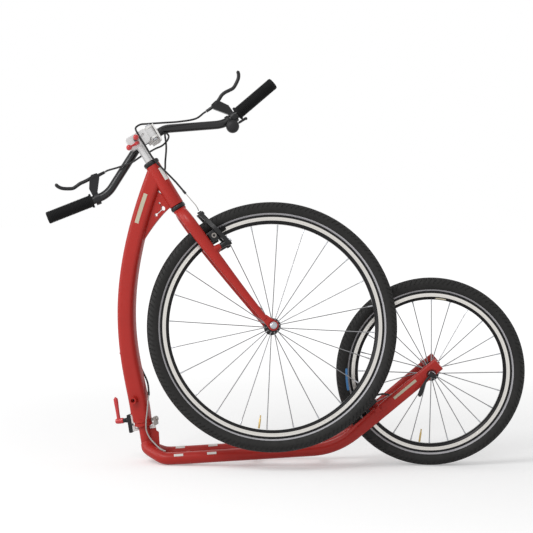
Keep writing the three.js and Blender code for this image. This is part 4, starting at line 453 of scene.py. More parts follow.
def turned(bm, profile, sides=48, axis="Z", centre=(0, 0, 0), material=0, closed=False, turn=None):
    """A turned shape from (radius, height) points, spun about one axis. closed joins the profile's ends."""
    faces, verts = set(bm.faces), set(bm.verts)
    line = [bm.verts.new((r, 0, h)) for r, h in profile]
    line += [bm.edges.new(pair) for pair in zip(line, line[1:] + (line[:1] if closed else []))]
    bmesh.ops.spin(bm, geom=line, cent=(0, 0, 0), axis=(0, 0, 1), angle=FULL, steps=sides, use_merge=True)
    bmesh.ops.remove_doubles(bm, verts=[v for v in bm.verts if v not in verts], dist=0.001)
    turns = {"Z": Matrix.Identity(4), "Y": Matrix.Rotation(-pi / 2, 4, "X"),
             "X": Matrix.Rotation(pi / 2, 4, "Y")}
    place = Matrix.Translation(Vector(centre)) @ (turn or turns[axis])
    bmesh.ops.transform(bm, matrix=place, verts=[v for v in bm.verts if v not in verts])
    dress(bm, faces, material)


def plate(bm, outline, thickness, bevel=0.8, centre=0.0, material=0):
    """A plate in X and Z, its thickness along Y about centre."""
    before = set(bm.faces)
    face = bm.faces.new([bm.verts.new((x, centre - thickness / 2, z)) for x, z in outline])
    raised = bmesh.ops.extrude_face_region(bm, geom=[face])["geom"]
    bmesh.ops.translate(bm, vec=(0, thickness, 0), verts=[v for v in raised if isinstance(v, bmesh.types.BMVert)])
    if bevel:
        rims = {e for f in [face] + [f for f in raised if isinstance(f, bmesh.types.BMFace)] for e in f.edges}
        rounded(bm, rims, bevel, 2, clamp=True)
    dress(bm, before, material)


def with_tangents(line):
    last = len(line) - 1
    return [(q, (line[min(i + 1, last)] - line[max(i - 1, 0)]).normalized()) for i, q in enumerate(line)]


def smooth_line(points, per_span=8):
    """A smooth line through points, which keeps to short curves at close ones. Gives the points of each span."""
    p = [Vector(q) for q in points]
    p = [p[0] * 2 - p[1]] + p + [p[-1] * 2 - p[-2]]
    spans = []
    for i in range(1, len(p) - 2):
        knots = [0.0]
        for a, b in zip(p[i - 1:i + 2], p[i:i + 3]):
            knots.append(knots[-1] + max((b - a).length, 1e-6) ** 0.5)
        t0, t1, t2, t3 = knots
        span = []
        for k in range(per_span + 1):
            t = t1 + (t2 - t1) * k / per_span
            a1 = p[i - 1].lerp(p[i], (t - t0) / (t1 - t0))
            a2 = p[i].lerp(p[i + 1], (t - t1) / (t2 - t1))
            a3 = p[i + 1].lerp(p[i + 2], (t - t2) / (t3 - t2))
            b1 = a1.lerp(a2, (t - t0) / (t2 - t0))
            b2 = a2.lerp(a3, (t - t1) / (t3 - t1))
            span.append(b1.lerp(b2, (t - t1) / (t2 - t1)))
        spans.append(span)
    return spans


def joined(spans):
    return [p for span in spans for p in span[:-1]] + [spans[-1][-1]]


def bent(corners, reaches, steps=14):
    """Straight runs joined by curves that start and end a set reach from each corner."""
    corners = [Vector(c) for c in corners]
    line = [corners[0]]
    for corner, before, after, reach in zip(corners[1:-1], corners, corners[2:], reaches):
        start = corner + (before - corner).normalized() * reach
        end = corner + (after - corner).normalized() * reach
        line += [start.lerp(corner, t).lerp(corner.lerp(end, t), t) for t in (k / steps for k in range(steps + 1))]
    line.append(corners[-1])
    return with_tangents(line)


def mix(a, b, share):
    return a + (b - a) * share


def smooth(value, low, high):
    t = min(max((value - low) / (high - low), 0), 1)
    return t * t * (3 - 2 * t)


def cut_with(target, tools, place):
    """Cuts the target for good with a mesh in local millimetres."""
    cutter = piece("cutter", tools, place, ["red_paint"], None)
    cutting = target.modifiers.new("Cut", "BOOLEAN")
    cutting.operation = "DIFFERENCE"
    cutting.solver = "EXACT"
    cutting.use_self = True
    cutting.object = cutter
    graph = bpy.context.evaluated_depsgraph_get()
    mesh = bpy.data.meshes.new_from_object(target.evaluated_get(graph))
    old = target.data
    target.modifiers.clear()
    target.data = mesh
    bpy.data.meshes.remove(old)
    bpy.data.objects.remove(cutter)
    mesh.shade_smooth()
    mesh.set_sharp_from_angle(angle=radians(SHARP))


def refined(node, finish_name, bevel, sharp=38, shift=None):
    """The CAD node's own shape with its facets merged and its edges rounded, standing for the node."""
    near = 0.02 * MM
    bm = bmesh.new()
    bm.from_mesh(frame["nodes"][node].data)
    bmesh.ops.remove_doubles(bm, verts=bm.verts, dist=near)
    bmesh.ops.dissolve_degenerate(bm, edges=bm.edges, dist=near)
    bmesh.ops.dissolve_limit(bm, angle_limit=radians(2.5), verts=bm.verts, edges=bm.edges, delimit=set())
    if shift:
        bmesh.ops.transform(bm, matrix=shift, verts=bm.verts)
    made = piece(node + "_shown", bm, Matrix.Identity(4), [finish_name], None, sharp=sharp)
    edge = made.modifiers.new("Rounded edges", "BEVEL")
    edge.width = bevel * MM
    edge.segments = 2
    edge.limit_method = "ANGLE"
    edge.angle_limit = radians(sharp)
    edge.use_clamp_overlap = True
    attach(made, body_of(frame["nodes"][node])[0])
    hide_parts(node)


# Settings
def colour_setting(name, description, default):
    return bpy.props.FloatVectorProperty(name=name, description=description, default=default, min=0, max=1, size=3,
                                         subtype="COLOR_GAMMA")


def setting(name, description, default, unit="LENGTH", **limits):
    return bpy.props.FloatProperty(name=name, description=description, default=default, unit=unit, **limits)


class KickBikeLook(bpy.types.PropertyGroup):
    """Colours and small sizes that a user may change."""
    paint: colour_setting("Paint", "Colour of the frame's powder coat", (0.69, 0.15, 0.12))
    rubber: colour_setting("Tyre rubber", "Colour of the tyres", (0.14, 0.138, 0.135))
    tread_depth: setting("Tread depth", "Depth of the tread's grooves", 0.0011, min=0.0002, max=0.003)
    tread_pitch: setting("Tread pitch", "Length of one tread block", 0.013, min=0.006, max=0.04)
    spoke_radius: setting("Spoke radius", "Half of a spoke's thickness", 0.00125, min=0.0005, max=0.003)


class KickBikeStudio(bpy.types.PropertyGroup):
    """The studio's light and floor."""
    key_power: setting("Key light", "Power of the large light over the camera", 95, "POWER", min=0)
    fill_power: setting("Fill light", "Power of the light from the left", 45, "POWER", min=0)
    floor_colour: colour_setting("Floor", "Colour of the floor", (0.93, 0.93, 0.93))


# Wheels: each one's name, tyre radius, place, half of its hub, and where its first spoke stands in degrees
WHEELS = (("front", FRONT_TYRE, FRONT_HUB, FRONT_HUB_HALF, FRONT_PHASE),
          ("rear", REAR_TYRE, REAR_HUB, REAR_HUB_HALF, REAR_PHASE))

# The tread: how far across each of its rows starts, how high it starts over the flange, how many facets one block
# takes round the wheel, and the slope at a groove's edge
TREAD_ROWS, TREAD_START = (3.2, 6.6, 10.4, 14.2, 16.8, 19.1, 20.8), 22
TREAD_FACETS, TREAD_SLOPE = 5, 0.35


def tyre_outline(radius):
    """The tyre's outside from bead to bead, as (radius, across)."""
    flange = radius - TYRE_HEIGHT
    half = [(flange - 5.0, 9.0), (flange + 0.9, 9.3), (flange + BAND_START, 10.4), (flange + 3.5, 13.4),
            (flange + BAND_END, 15.5), (flange + 8.5, 18.0), (flange + 14.5, 20.6), (flange + 20.5, 21.2),
            (flange + 24.0, 20.65), (flange + 27.0, 18.95), (flange + 29.6, 16.65), (flange + 31.8, 14.1),
            (flange + 33.8, 10.4), (flange + 34.9, 6.6), (flange + 35.4, 3.2)]
    return half + [(radius, 0)] + [(r, -a) for r, a in half[::-1]]


def rear_patch(name, radius, across, height, angles, finish_name):
    """A thin patch that follows the rear wheel's curve on its near side, between two angles in degrees."""
    start, end = (radians(a) for a in angles)
    bm = bmesh.new()
    line = [Vector((cos(a), 0, sin(a))) for a in (mix(start, end, k / 6) for k in range(7))]
    line = [(v * radius + Vector((0, -across, 0)), Vector((-v.z, 0, v.x))) for v in line]
    sweep(bm, line, lambda share: block(0.5, height / 2, 0.3, 2))
    piece(name, bm, REAR_HUB, [finish_name], "rear_wheel")


def make_tyre(look, prefix, radius, place):
    """One tyre spun from its outline, with slanted grooves sunk into its tread and a reflex band on each side."""
    flange = radius - TYRE_HEIGHT
    steps = round(FULL * radius * MM / look.tread_pitch) * TREAD_FACETS
    bm = bmesh.new()
    turned(bm, tyre_outline(radius), steps, "Y", closed=True)
    grooves = []
    for face in bm.faces:
        middle = face.calc_center_median()
        out, across = hypot(middle.x, middle.z), middle.y
        if flange + BAND_START < out < flange + BAND_END and abs(across) > 10:
            face.material_index = 1
        row = sum(abs(across) > edge for edge in TREAD_ROWS)
        if out > flange + TREAD_START and row > 0:
            turn = round((atan2(middle.z, middle.x) / FULL % 1) * steps - 0.5) % steps
            slant = (turn + (row if across > 0 else -row)) % TREAD_FACETS
            if slant == 0 and row != 3 or row == 3 and slant in (1, 3):
                grooves.append(face)
    bmesh.ops.inset_individual(bm, faces=grooves, thickness=TREAD_SLOPE, depth=-look.tread_depth / MM,
                               use_even_offset=True)
    piece(prefix + "_tyre_shown", bm, place, ["tyre_rubber", "reflex"], prefix + "_wheel", [prefix + "_tyre"],
          sharp=50)


class KICKBIKE_OT_tyres(Step, bpy.types.Operator):
    """Both tyres with their tread and reflex bands"""
    bl_idname = "kick_bike.tyres"
    bl_label = "Tyres"

    def build(self, look):
        for prefix, radius, place, *_ in WHEELS:
            make_tyre(look, prefix, radius, place)
        rear_patch("rear_tyre_patch", REAR_TYRE - TYRE_HEIGHT + 9.5, 18.9, 7, (178, 193), "blue_patch")


def make_rim(prefix, radius, place):
    """The rim spun from its section, with its bare track and the wear groove in it."""
    flange = radius - TYRE_HEIGHT
    bed = flange - RIM_DEPTH
    start, end = bed + TRACK_START, bed + TRACK_END
    half = [(bed, 4.6), (bed + 1.0, 6.6), (bed + 4.5, 9.4), (start - 0.5, 11.4), (start, RIM_HALF),
            (start + 3.0, RIM_HALF), (start + 3.2, RIM_HALF - 0.4), (start + 3.9, RIM_HALF - 0.4),
            (start + 4.1, RIM_HALF), (end, RIM_HALF), (flange - 0.6, RIM_HALF), (flange, RIM_HALF - 0.5),
            (flange, 10.0), (flange - 1.2, 9.5), (flange - 5.8, 9.5)]
    bm = bmesh.new()
    turned(bm, half + [(r, -a) for r, a in half[::-1]], 180, "Y", closed=True)
    for face in bm.faces:
        middle = face.calc_center_median()
        # Faces between the track's end and the rim's edge, next to the tyre, take the black rim finish, though the real
        # track runs on to the edge
        bare = start < hypot(middle.x, middle.z) < end and abs(middle.y) > 11.3
        face.material_index = 0 if bare else 1
    layer = bm.verts.layers.float.new("radius")
    for vert in bm.verts:
        vert[layer] = hypot(vert.co.x, vert.co.z) * MM
    piece(prefix + "_rim_shown", bm, place, ["rim_track", "rim_black"], prefix + "_wheel", [prefix + "_rim"],
          sharp=25)


def make_hub(look, prefix, radius, place, hub_half, phase):
    """Hub shell with its end caps and grooves, and the spokes with their nipples and heads."""
    bed, body = radius - TYRE_HEIGHT - RIM_DEPTH, prefix + "_wheel"
    end = hub_half - 4.3
    out = hub_half - 17.0
    half = [(13.0, 0), (13.0, out - 11.5), (13.6, out - 10.5), (14.8, out - 7), (19.2, out - 3.6), (20.0, out - 2.8),
            (20.0, out - 0.7), (19.4, out), (12.5, out + 0.6), (11.0, out + 2.2), (9.6, out + 3.0), (9.5, end - 0.6),
            (9.0, end), (5.4, end)]
    shell = bmesh.new()
    turned(shell, [(r, -a) for r, a in half[:0:-1]] + half[1:], 48, "Y", closed=True)
    piece(prefix + "_hub_shown", shell, place, ["black_paint"], body, [prefix + "_hub_and_spokes"],
          sharp=40)
    wires = bmesh.new()
    thick = look.spoke_radius / MM
    for i in range(SPOKES):
        angle = radians(phase) + FULL * i / SPOKES
        reach = Vector((cos(angle), 0, sin(angle)))
        side = -1 if i % 2 == 0 else 1
        foot = reach * 17.2 + Vector((0, side * (out - 1.6), 0))
        head = reach * (bed - 1.0) + Vector((0, side * 1.1, 0))
        along = (head - foot).normalized()
        rod(wires, foot, head, thick, 8)
        rod(wires, head - along * 13, head, 1.7, 8, 2.0, material=1)
        rod(wires, foot + Vector((0, side * 1.9, 0)), foot + Vector((0, side * 3.2, 0)), 1.9, 8)
    piece(prefix + "_spokes_shown", wires, place, ["spoke", "steel"], body)


class KICKBIKE_OT_wheels(Step, bpy.types.Operator):
    """Rims, hubs, spokes and valves of both wheels"""
    bl_idname = "kick_bike.wheels"
    bl_label = "Rims, hubs and spokes"

    def build(self, look):
        for prefix, radius, place, *_ in WHEELS:
            make_rim(prefix, radius, place)
        for wheel in WHEELS:
            make_hub(look, *wheel)
        rear_patch("rear_rim_patch", REAR_TYRE - TYRE_HEIGHT - RIM_DEPTH + 4.2, 9.5, 5, (79, 87), "strip")
        for prefix in ("front", "rear"):
            refined(prefix + "_valve", "brass", 0.2)
            refined(prefix + "_axle", "steel", 0.3)
            refined(prefix + "_skewer", "steel", 0.6)
            refined(prefix + "_quick_release_lever", "black_paint", 0.8)


# Deck
def rail_height(x):
    return RAIL_RADIUS + FLOOR_GAP + RAIL_SLOPE * (x - DECK_FRONT)


def rail_line(side):
    start_x = DECK_FRONT + RAIL_RADIUS * 1.8
    start = Vector((start_x, side * RAIL_SPREAD, rail_height(start_x)))
    nose = with_tangents(joined(smooth_line([
        (DECK_FRONT * 0.15, side * MAST_RADIUS * 0.3, RAIL_RADIUS * 2.95),
        (DECK_FRONT * 0.2, side * RAIL_SPREAD * 0.26, RAIL_RADIUS * 2.4),
        (DECK_FRONT * 0.52, side * RAIL_SPREAD * 0.66, RAIL_RADIUS * 1.7),
        (DECK_FRONT * 0.87, side * RAIL_SPREAD * 0.95, RAIL_RADIUS * 1.12),
        start], 10)))
    rest = bent([start, (DECK_BEND, side * RAIL_SPREAD, DECK_BEND_Z), (STAY_END[0], side * STAY_SPREAD, STAY_END[1])],
                [62], 18)
    line = []
    for (p, t), (q, _) in zip(rest, rest[1:]):
        line.append((p, t))
        if (q - p).length > 60:
            line += [(p.lerp(q, k / 8), (q - p).normalized()) for k in range(1, 8)]
    return nose[:-1] + line + [rest[-1]]


def rail_section(share):
    """Round under the deck, and a tall rounded box along the stays."""
    flat = smooth(share, 0.62, 0.78)
    height, width = mix(RAIL_RADIUS, STAY_HEIGHT / 2, flat), mix(RAIL_RADIUS, STAY_THICK / 2, flat)
    power = mix(1, 0.72, flat)
    turns = [(cos(FULL * i / 36), sin(FULL * i / 36)) for i in range(36)]
    return [(width * copysign(abs(c) ** power, c), height * copysign(abs(s) ** power, s)) for c, s in turns]


def stay_point(back, over, y=0.0):
    """A place seen from the stay's end: back along it and over its middle line."""
    return Vector((STAY_END[0] - back * cos(STAY_ANGLE) - over * sin(STAY_ANGLE), y,
                   STAY_END[1] - back * sin(STAY_ANGLE) + over * cos(STAY_ANGLE)))


def mast_place(reach, rise):
    """A place in X and Z seen from the fold joint: out from the mast and up along it."""
    return (reach * cos(LEAN) - rise * sin(LEAN),
            FOLD.z / MM + reach * sin(LEAN) + rise * cos(LEAN))


class KICKBIKE_OT_deck(Step, bpy.types.Operator):
    """Deck rails, mast, fin, cross tubes and the grip pads on the rails"""
    bl_idname = "kick_bike.deck"
    bl_label = "Deck"

    def build(self, look):
        self.rails()
        self.mast()
        self.fin_and_ears()
        self.brake_bosses()
        self.grip_pads()
        self.stay_strips()

    def grip_pads(self):
        pads = bmesh.new()
        ahead = Vector((1, 0, RAIL_SLOPE)).normalized()
        for side in (-1, 1):
            for middle in (96, 182):
                line = [(Vector((x, side * RAIL_SPREAD, rail_height(x))), ahead) for x in (middle - 12, middle + 12)]
                low, high = (27, 51) if side < 0 else (48, 98)
                turns = [radians(mix(low, high, i / 10)) for i in range(11)]
                rim = [(r * cos(a), r * sin(a))
                       for r, way in ((RAIL_RADIUS + 0.7, 1), (RAIL_RADIUS - 0.3, -1)) for a in turns[::way]]
                sweep(pads, line, lambda share: rim, side=(0, -1, 0))
        piece("deck_grip_pads", pads, WORLD, ["grip_pad"], "deck")

    def stay_strips(self):
        """A plain strip on the outer face of each stay."""
        strips = bmesh.new()
        backs, stay_length = (146, 72), 345
        ends = [stay_point(back, 5.5) for back in backs]
        ahead = (ends[1] - ends[0]).normalized()
        for side in (-1, 1):
            outs = [mix(RAIL_SPREAD, STAY_SPREAD, 1 - back / stay_length) + STAY_THICK / 2 for back in backs]
            line = [(end + Vector((0, side * out, 0)), ahead) for end, out in zip(ends, outs)]
            sweep(strips, line, lambda share: block(0.5, 3.6, 0.2, 1))
        piece("stay_strips", strips, WORLD, ["strip"], "deck")

    def rails(self):
        """Both rails with their stays and cross tubes, cut for the axle, its nuts and the skewer."""
        bm = bmesh.new()
        for side in (-1, 1):
            sweep(bm, rail_line(side), rail_section)
        for x in (DECK_FRONT, 118, 285, 452):
            low = rail_height(x) - 4.5
            rod(bm, (x, -RAIL_SPREAD, low), (x, RAIL_SPREAD, low), 11, 32)
        deck = piece("deck_rails_shown", bm, WORLD, ["red_paint"], None)
        tools = bmesh.new()
        hub = Vector((REAR_AXLE_X, 0, REAR_TYRE))
        for side in (-1, 1):
            for near, far, radius in ((61, 79, 14.2), (45, 55, 20.3), (44, 80, 5.2)):
                rod(tools, hub + Vector((0, side * near, 0)), hub + Vector((0, side * far, 0)), radius, 40)
        cut_with(deck, tools, WORLD)
        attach(deck, "deck")
        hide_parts("rear_frame")

    def mast(self):
        """The mast and the collar under the joint flange."""
        mast = bmesh.new()
        rod(mast, (0, 0, -72), (0, 0, -1), MAST_RADIUS, 40)
        collar = [(0, -12.5), (14.8, -12.5), (16.5, -12.0), (22.9, -8.6), (JOINT_RADIUS, -8.0), (JOINT_RADIUS, -0.9),
                  (22.9, -0.3), (0, -0.3)]
        turned(mast, collar, 56)
        piece("mast_shown", mast, MAST, ["red_paint"], "deck")

    def fin_and_ears(self):
        """The fin behind the mast, the brake bridge, and the lugs with their eyes on the stays."""
        fin = bmesh.new()
        by_mast = [mast_place(*place) for place in ((10, -20), (30.4, -20), (30.4, -27), (36, -32.4))]
        outline = by_mast + [(43.3, 41), (62, 20), (14.5, 18)]
        plate(fin, outline, 6, bevel=1.2)
        bridge, over = REAR_TYRE + 17.6, self.over()
        middle = Vector((REAR_AXLE_X - bridge * cos(STAY_ANGLE) - over * sin(STAY_ANGLE), 0,
                         REAR_TYRE - bridge * sin(STAY_ANGLE) + over * cos(STAY_ANGLE)))
        rod(fin, middle + Vector((0, -58, 0)), middle + Vector((0, 58, 0)), 8.8, 28)
        tools = bmesh.new()
        tilt = STAY_ANGLE - 0.6
        centre, eye = stay_point(STAY_HEIGHT, STAY_HEIGHT / 2), stay_point(STAY_HEIGHT, STAY_HEIGHT / 2 + 4.8)
        lug = [(centre.x - u * sin(tilt) - 0.35 * v * cos(tilt),
                centre.z + u * cos(tilt) + 0.9 * v * sin(tilt)) for u, v in oval(8, 12, 28)]
        for side in (-1, 1):
            plate(fin, lug, 6, bevel=0.9, centre=side * STAY_SPREAD)
            rod(tools, (eye.x, side * STAY_SPREAD - 5, eye.z), (eye.x, side * STAY_SPREAD + 5, eye.z), 3.6)
        made = piece("deck_fin_and_ears", fin, WORLD, ["red_paint"], None)
        cut_with(made, tools, WORLD)
        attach(made, "deck")

    def over(self):
        """How far the wheel's middle lies from the stays' middle line."""
        return abs((REAR_AXLE_X - STAY_END[0]) * sin(STAY_ANGLE)
                   - (REAR_TYRE - STAY_END[1]) * cos(STAY_ANGLE))

    def brake_bosses(self):
        bosses = bmesh.new()
        over, z = self.over(), REAR_PIVOT_RISE
        for side in (-1, 1):
            y = side * BRAKE_PIVOT
            rod(bosses, (over, y, z), (over + 23, y, z), 8.8, 28, 5.8, bevel=0.5)
            rod(bosses, (over + 22, y, z), (over + 34, y, z), 5.2, 20)
            box(bosses, (over + 10, side * 57, z), (14, 40, 16), 1.5)
        piece("rear_brake_bosses", bosses, REAR_BRAKE, ["red_paint"], "deck")


# Front frame
def tube_line(count=60):
    """The main tube's middle line in the front frame's plane."""
    foot, end = Vector((-4.6, 0, 2)), HEAD_TOP - HEAD_AXIS * 25.7
    low, high = radians(3.8), radians(21.8)
    reach_low, reach_high = 128, 408
    pull_low = foot + Vector((-sin(low), 0, cos(low))) * reach_low
    pull_high = end - Vector((sin(high), 0, cos(high))) * reach_high
    line = []
    for i in range(count + 1):
        t = i / count
        line.append(foot * (1 - t) ** 3 + pull_low * 3 * t * (1 - t) ** 2 + pull_high * 3 * t * t * (1 - t)
                    + end * t ** 3)
    return with_tangents(line)


def tube_at(rise):
    """The place on the main tube's middle line at a height."""
    return min(tube_line(200), key=lambda station: abs(station[0].z - rise))[0]


def tube_depth(share):
    return mix(40, 32.3, smooth(share, 0.7, 1))


def tube_section(share):
    """The main tube's rounded box section, slimmer in the middle and rounder at the head."""
    low, high = smooth(share, 0.06, 0.42), smooth(share, 0.7, 1)
    width = mix(mix(TUBE_LOW, TUBE_MIDDLE, low), TUBE_TOP, high)
    return block(tube_depth(share) / 2, width / 2, 12)


class KICKBIKE_OT_front_frame(Step, bpy.types.Operator):
    """Main tube, head tube, gusset, joint flange and cable port"""
    bl_idname = "kick_bike.front_frame"
    bl_label = "Front frame"

    def build(self, look):
        self.main_tube()
        self.head()
        self.gusset()
        self.strips()
        for node in ("lower_head_cup", "upper_head_cup"):
            refined(node, "black_paint", 0.5, sharp=50)

    def main_tube(self):
        """The main tube, cut for the latch blocks and the cable port."""
        bm = bmesh.new()
        sweep(bm, tube_line(), tube_section)
        tube = piece("main_tube_shown", bm, FRONT, ["red_paint"], None)
        tools = bmesh.new()
        box(tools, (-41.6, 0, 12), (42, 48, 25))
        box(tools, (0, 0, -20.7), (168, 80, 42))
        cut_with(tube, tools, CLAMP)
        tools = bmesh.new()
        rod(tools, (PORT_X, -40, PORT_RISE), (PORT_X, -9, PORT_RISE), PORT_RADIUS, 28)
        cut_with(tube, tools, FRONT)
        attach(tube, "front_frame")
        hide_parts("front_frame")

    def head(self):
        """Head tube, cable port, cable bosses and joint flange."""
        rest = bmesh.new()
        rod(rest, HEAD_BOTTOM + HEAD_AXIS * CUP_HEIGHT, HEAD_TOP - HEAD_AXIS * CUP_HEIGHT, 19, 48, bevel=0.8)
        port = [(5.3, 0), (7.6, 0), (9, -1.2), (9, -12), (5.3, -12)]
        turned(rest, port, 36, "Y", (PORT_X, -23, PORT_RISE), closed=True)
        for rise in (115, 179):
            x = tube_at(rise).x
            rod(rest, (x - 27.5, 0, rise), (x, 0, rise), 3.6, 20, bevel=1.0)
        piece("head_tube_shown", rest, FRONT, ["red_paint"], "front_frame")
        plug = bmesh.new()
        rod(plug, (PORT_X, -18, PORT_RISE), (PORT_X, -12, PORT_RISE), PORT_RADIUS, 28)
        piece("cable_port_plug", plug, FRONT, ["black_plastic"], "front_frame")
        flange = bmesh.new()
        disc = [(0, 0.3), (22.9, 0.3), (JOINT_RADIUS, 0.9), (JOINT_RADIUS, 7.7), (22.9, 8.3), (0, 8.3)]
        turned(flange, disc, 56)
        piece("joint_flange_shown", flange, CLAMP, ["red_paint"], "front_frame")

    def gusset(self):
        """A plate between the tubes with three holes, joined by thin slots."""
        apex, low = tube_at(616), tube_at(477)
        corner = HEAD_BOTTOM + HEAD_AXIS * 7.6
        start, end = Vector((low.x + 17, 0, low.z - 9.5)), Vector((corner.x - 9.5, 0, corner.z - 2))
        pull = Vector((mix(low.x, corner.x, 0.58), 0, mix(low.z, corner.z, 0.72) - 2))
        curve = [start.lerp(pull, t).lerp(pull.lerp(end, t), t) for t in (k / 12 for k in range(13))]
        outline = [apex, low] + curve + [corner]
        bm = bmesh.new()
        plate(bm, [(p.x, p.z) for p in outline], 10, bevel=0.8)
        made = piece("gusset_shown", bm, FRONT, ["red_paint"], None)
        tools = bmesh.new()
        big, lower, upper = Vector((57.5, 0, 562.5)), Vector((38.4, 0, 545)), Vector((47.5, 0, 576))
        for middle, radius in ((big, 6.0), (lower, 4.3), (upper, 2.8)):
            rod(tools, middle - Vector((0, 9, 0)), middle + Vector((0, 9, 0)), radius, 32)
        for a, b in ((big, lower), (big, upper)):
            along = (b - a).normalized()
            turn = Vector((1, 0, 0)).rotation_difference(along).to_matrix().to_4x4()
            box(tools, (a + b) / 2, ((b - a).length, 18, 2.4), turn=turn)
        cut_with(made, tools, FRONT)
        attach(made, "front_frame")

    def strips(self):
        """The plain strips on the main tube and the head tube."""
        low, high = 524, 614
        line = tube_line(200)
        run = [0.0]
        for (p, _), (q, _) in zip(line, line[1:]):
            run.append(run[-1] + (q - p).length)
        strip = bmesh.new()
        stations = [(p - Vector((3.0, tube_depth(r / run[-1]) / 2, 0)), t)
                    for r, (p, t) in zip(run, line) if low < p.z < high]
        sweep(strip, stations[::3], lambda share: block(0.5, 5.4, 0.3, 1))
        piece("main_tube_strip", strip, FRONT, ["strip"], "front_frame")
        wrap = bmesh.new()
        turns = [radians(-46 + 38 * i / 10) for i in range(11)]
        rim = [(r * sin(a), r * cos(a)) for r, way in ((19.35, 1), (18.6, -1)) for a in turns[::way]]
        ends = [(HEAD_TOP - HEAD_AXIS * below, HEAD_AXIS) for below in (57, 21)]
        sweep(wrap, ends, lambda share: rim)
        piece("head_tube_strip", wrap, FRONT, ["white_strip"], "front_frame")


# Fork
def blade_line(side):
    def at(x, y, z):
        return Vector((x, side * y, z))

    def blade_x(drop):
        return RAKE * 0.8 * (drop / 364) ** 1.35
    return with_tangents(joined(smooth_line([
        at(0, 2.1, -14.4), at(0, 20.6, -21.6), at(blade_x(48), 35.5, -48), at(blade_x(109), 39, -109),
        at(blade_x(247.5), mix(39, 51, 0.55), -247.5), at(blade_x(364), 51, -364)], 12)))


def blade_section(share):
    taper = smooth(share, 0.2, 1.05)
    return oval(mix(12, 6.5, taper), mix(15.5, 8, taper), 36)


class KICKBIKE_OT_fork(Step, bpy.types.Operator):
    """Fork with its crown, blades, dropouts and brake bosses"""
    bl_idname = "kick_bike.fork"
    bl_label = "Fork"

    def build(self, look):
        bm = bmesh.new()
        for side in (-1, 1):
            sweep(bm, blade_line(side), blade_section)
            ear, ear_top = 13.5, -355.5
            outline = [(RAKE - ear, -AXLE_DROP), (RAKE * 0.62, ear_top), (RAKE * 0.98, ear_top),
                       (RAKE + ear, -AXLE_DROP)]
            plate(bm, outline, 5.6, bevel=1.0, centre=side * 52.8)
            rod(bm, (RAKE, side * 50, -AXLE_DROP), (RAKE, side * 55.6, -AXLE_DROP), ear, 40, bevel=0.8)
            y, z = side * BRAKE_PIVOT, -FRONT_PIVOT_DROP
            rod(bm, (9.3, y, z), (RAKE - 8.8, y, z), 11.4, 28, 7.2, bevel=0.5)
            rod(bm, (9.3, y, z), (RAKE + 4.6 + ARM_OUT, y, z), 5.2, 20)
        turned(bm, [(0, -25), (14.3, -25.5), (15, -14), (17.5, -9.2), (17.5, -6.3), (0, -6.3)], 48)
        rod(bm, (0, 0, -20), (0, 0, 138), 14.3, 40)
        piece("fork_shown", bm, STEER, ["red_paint"], "fork", ["fork"])


# Stem
class KICKBIKE_OT_stem(Step, bpy.types.Operator):
    """Stem, yoke, clamp cap, bolts and ball levers"""
    bl_idname = "kick_bike.stem"
    bl_label = "Stem"

    def build(self, look):
        refined("stem", "silver_alloy", 1.0)
        refined("bar_yoke", "cast_alloy", 0.6)
        refined("bar_clamp_cap", "cast_alloy", 0.6)
        refined("yoke_bolt", "steel", 0.6)
        self.ball_lever("stem_lever_upper", 29.0, "black_paint")
        self.ball_lever("stem_lever_lower", 24.0, "red_plastic")

    def ball_lever(self, node, reach, stalk):
        turn = joint(node + "_turn")
        low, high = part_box(node)
        hub, z = Vector(turn["pos_m"]), Vector(turn["axis"])
        away = (Vector(low) + Vector(high)) / 2 - hub
        place = basis(hub, away - z * away.dot(z), z)
        bm = bmesh.new()
        rod(bm, (0, 0, -4), (0, 0, 4), 6, 28, bevel=0.8)
        rod(bm, (3, 0, 0), (reach - 4, 0, 0), 3.1, 20, 2.5)
        before = set(bm.faces)
        end = Matrix.Translation((reach, 0, 0))
        bmesh.ops.create_uvsphere(bm, u_segments=32, v_segments=18, radius=7.5, matrix=end)
        dress(bm, before, 1)
        piece(node + "_shown", bm, place, [stalk, "red_plastic"], node, [node])


# Handlebar
def bar_corners():
    end = (BAR_HALF, 0, -BAR_DROP + (BAR_HALF - BAR_REACH) * tan(GRIP_TILT))
    right = [(BAR_FLAT, 0, 0), (BAR_REACH, 0, -BAR_DROP), end]
    return [(-x, y, z) for x, y, z in right[::-1]] + right


BAR_LINE = bent(bar_corners(), [24, 12, 12, 24], 12)


def bar_point(reach):
    for (p, _), (q, _) in zip(BAR_LINE, BAR_LINE[1:]):
        if p.x <= reach <= q.x:
            return p.lerp(q, (reach - p.x) / (q.x - p.x))
    raise ValueError("the bar doesn't reach that far")


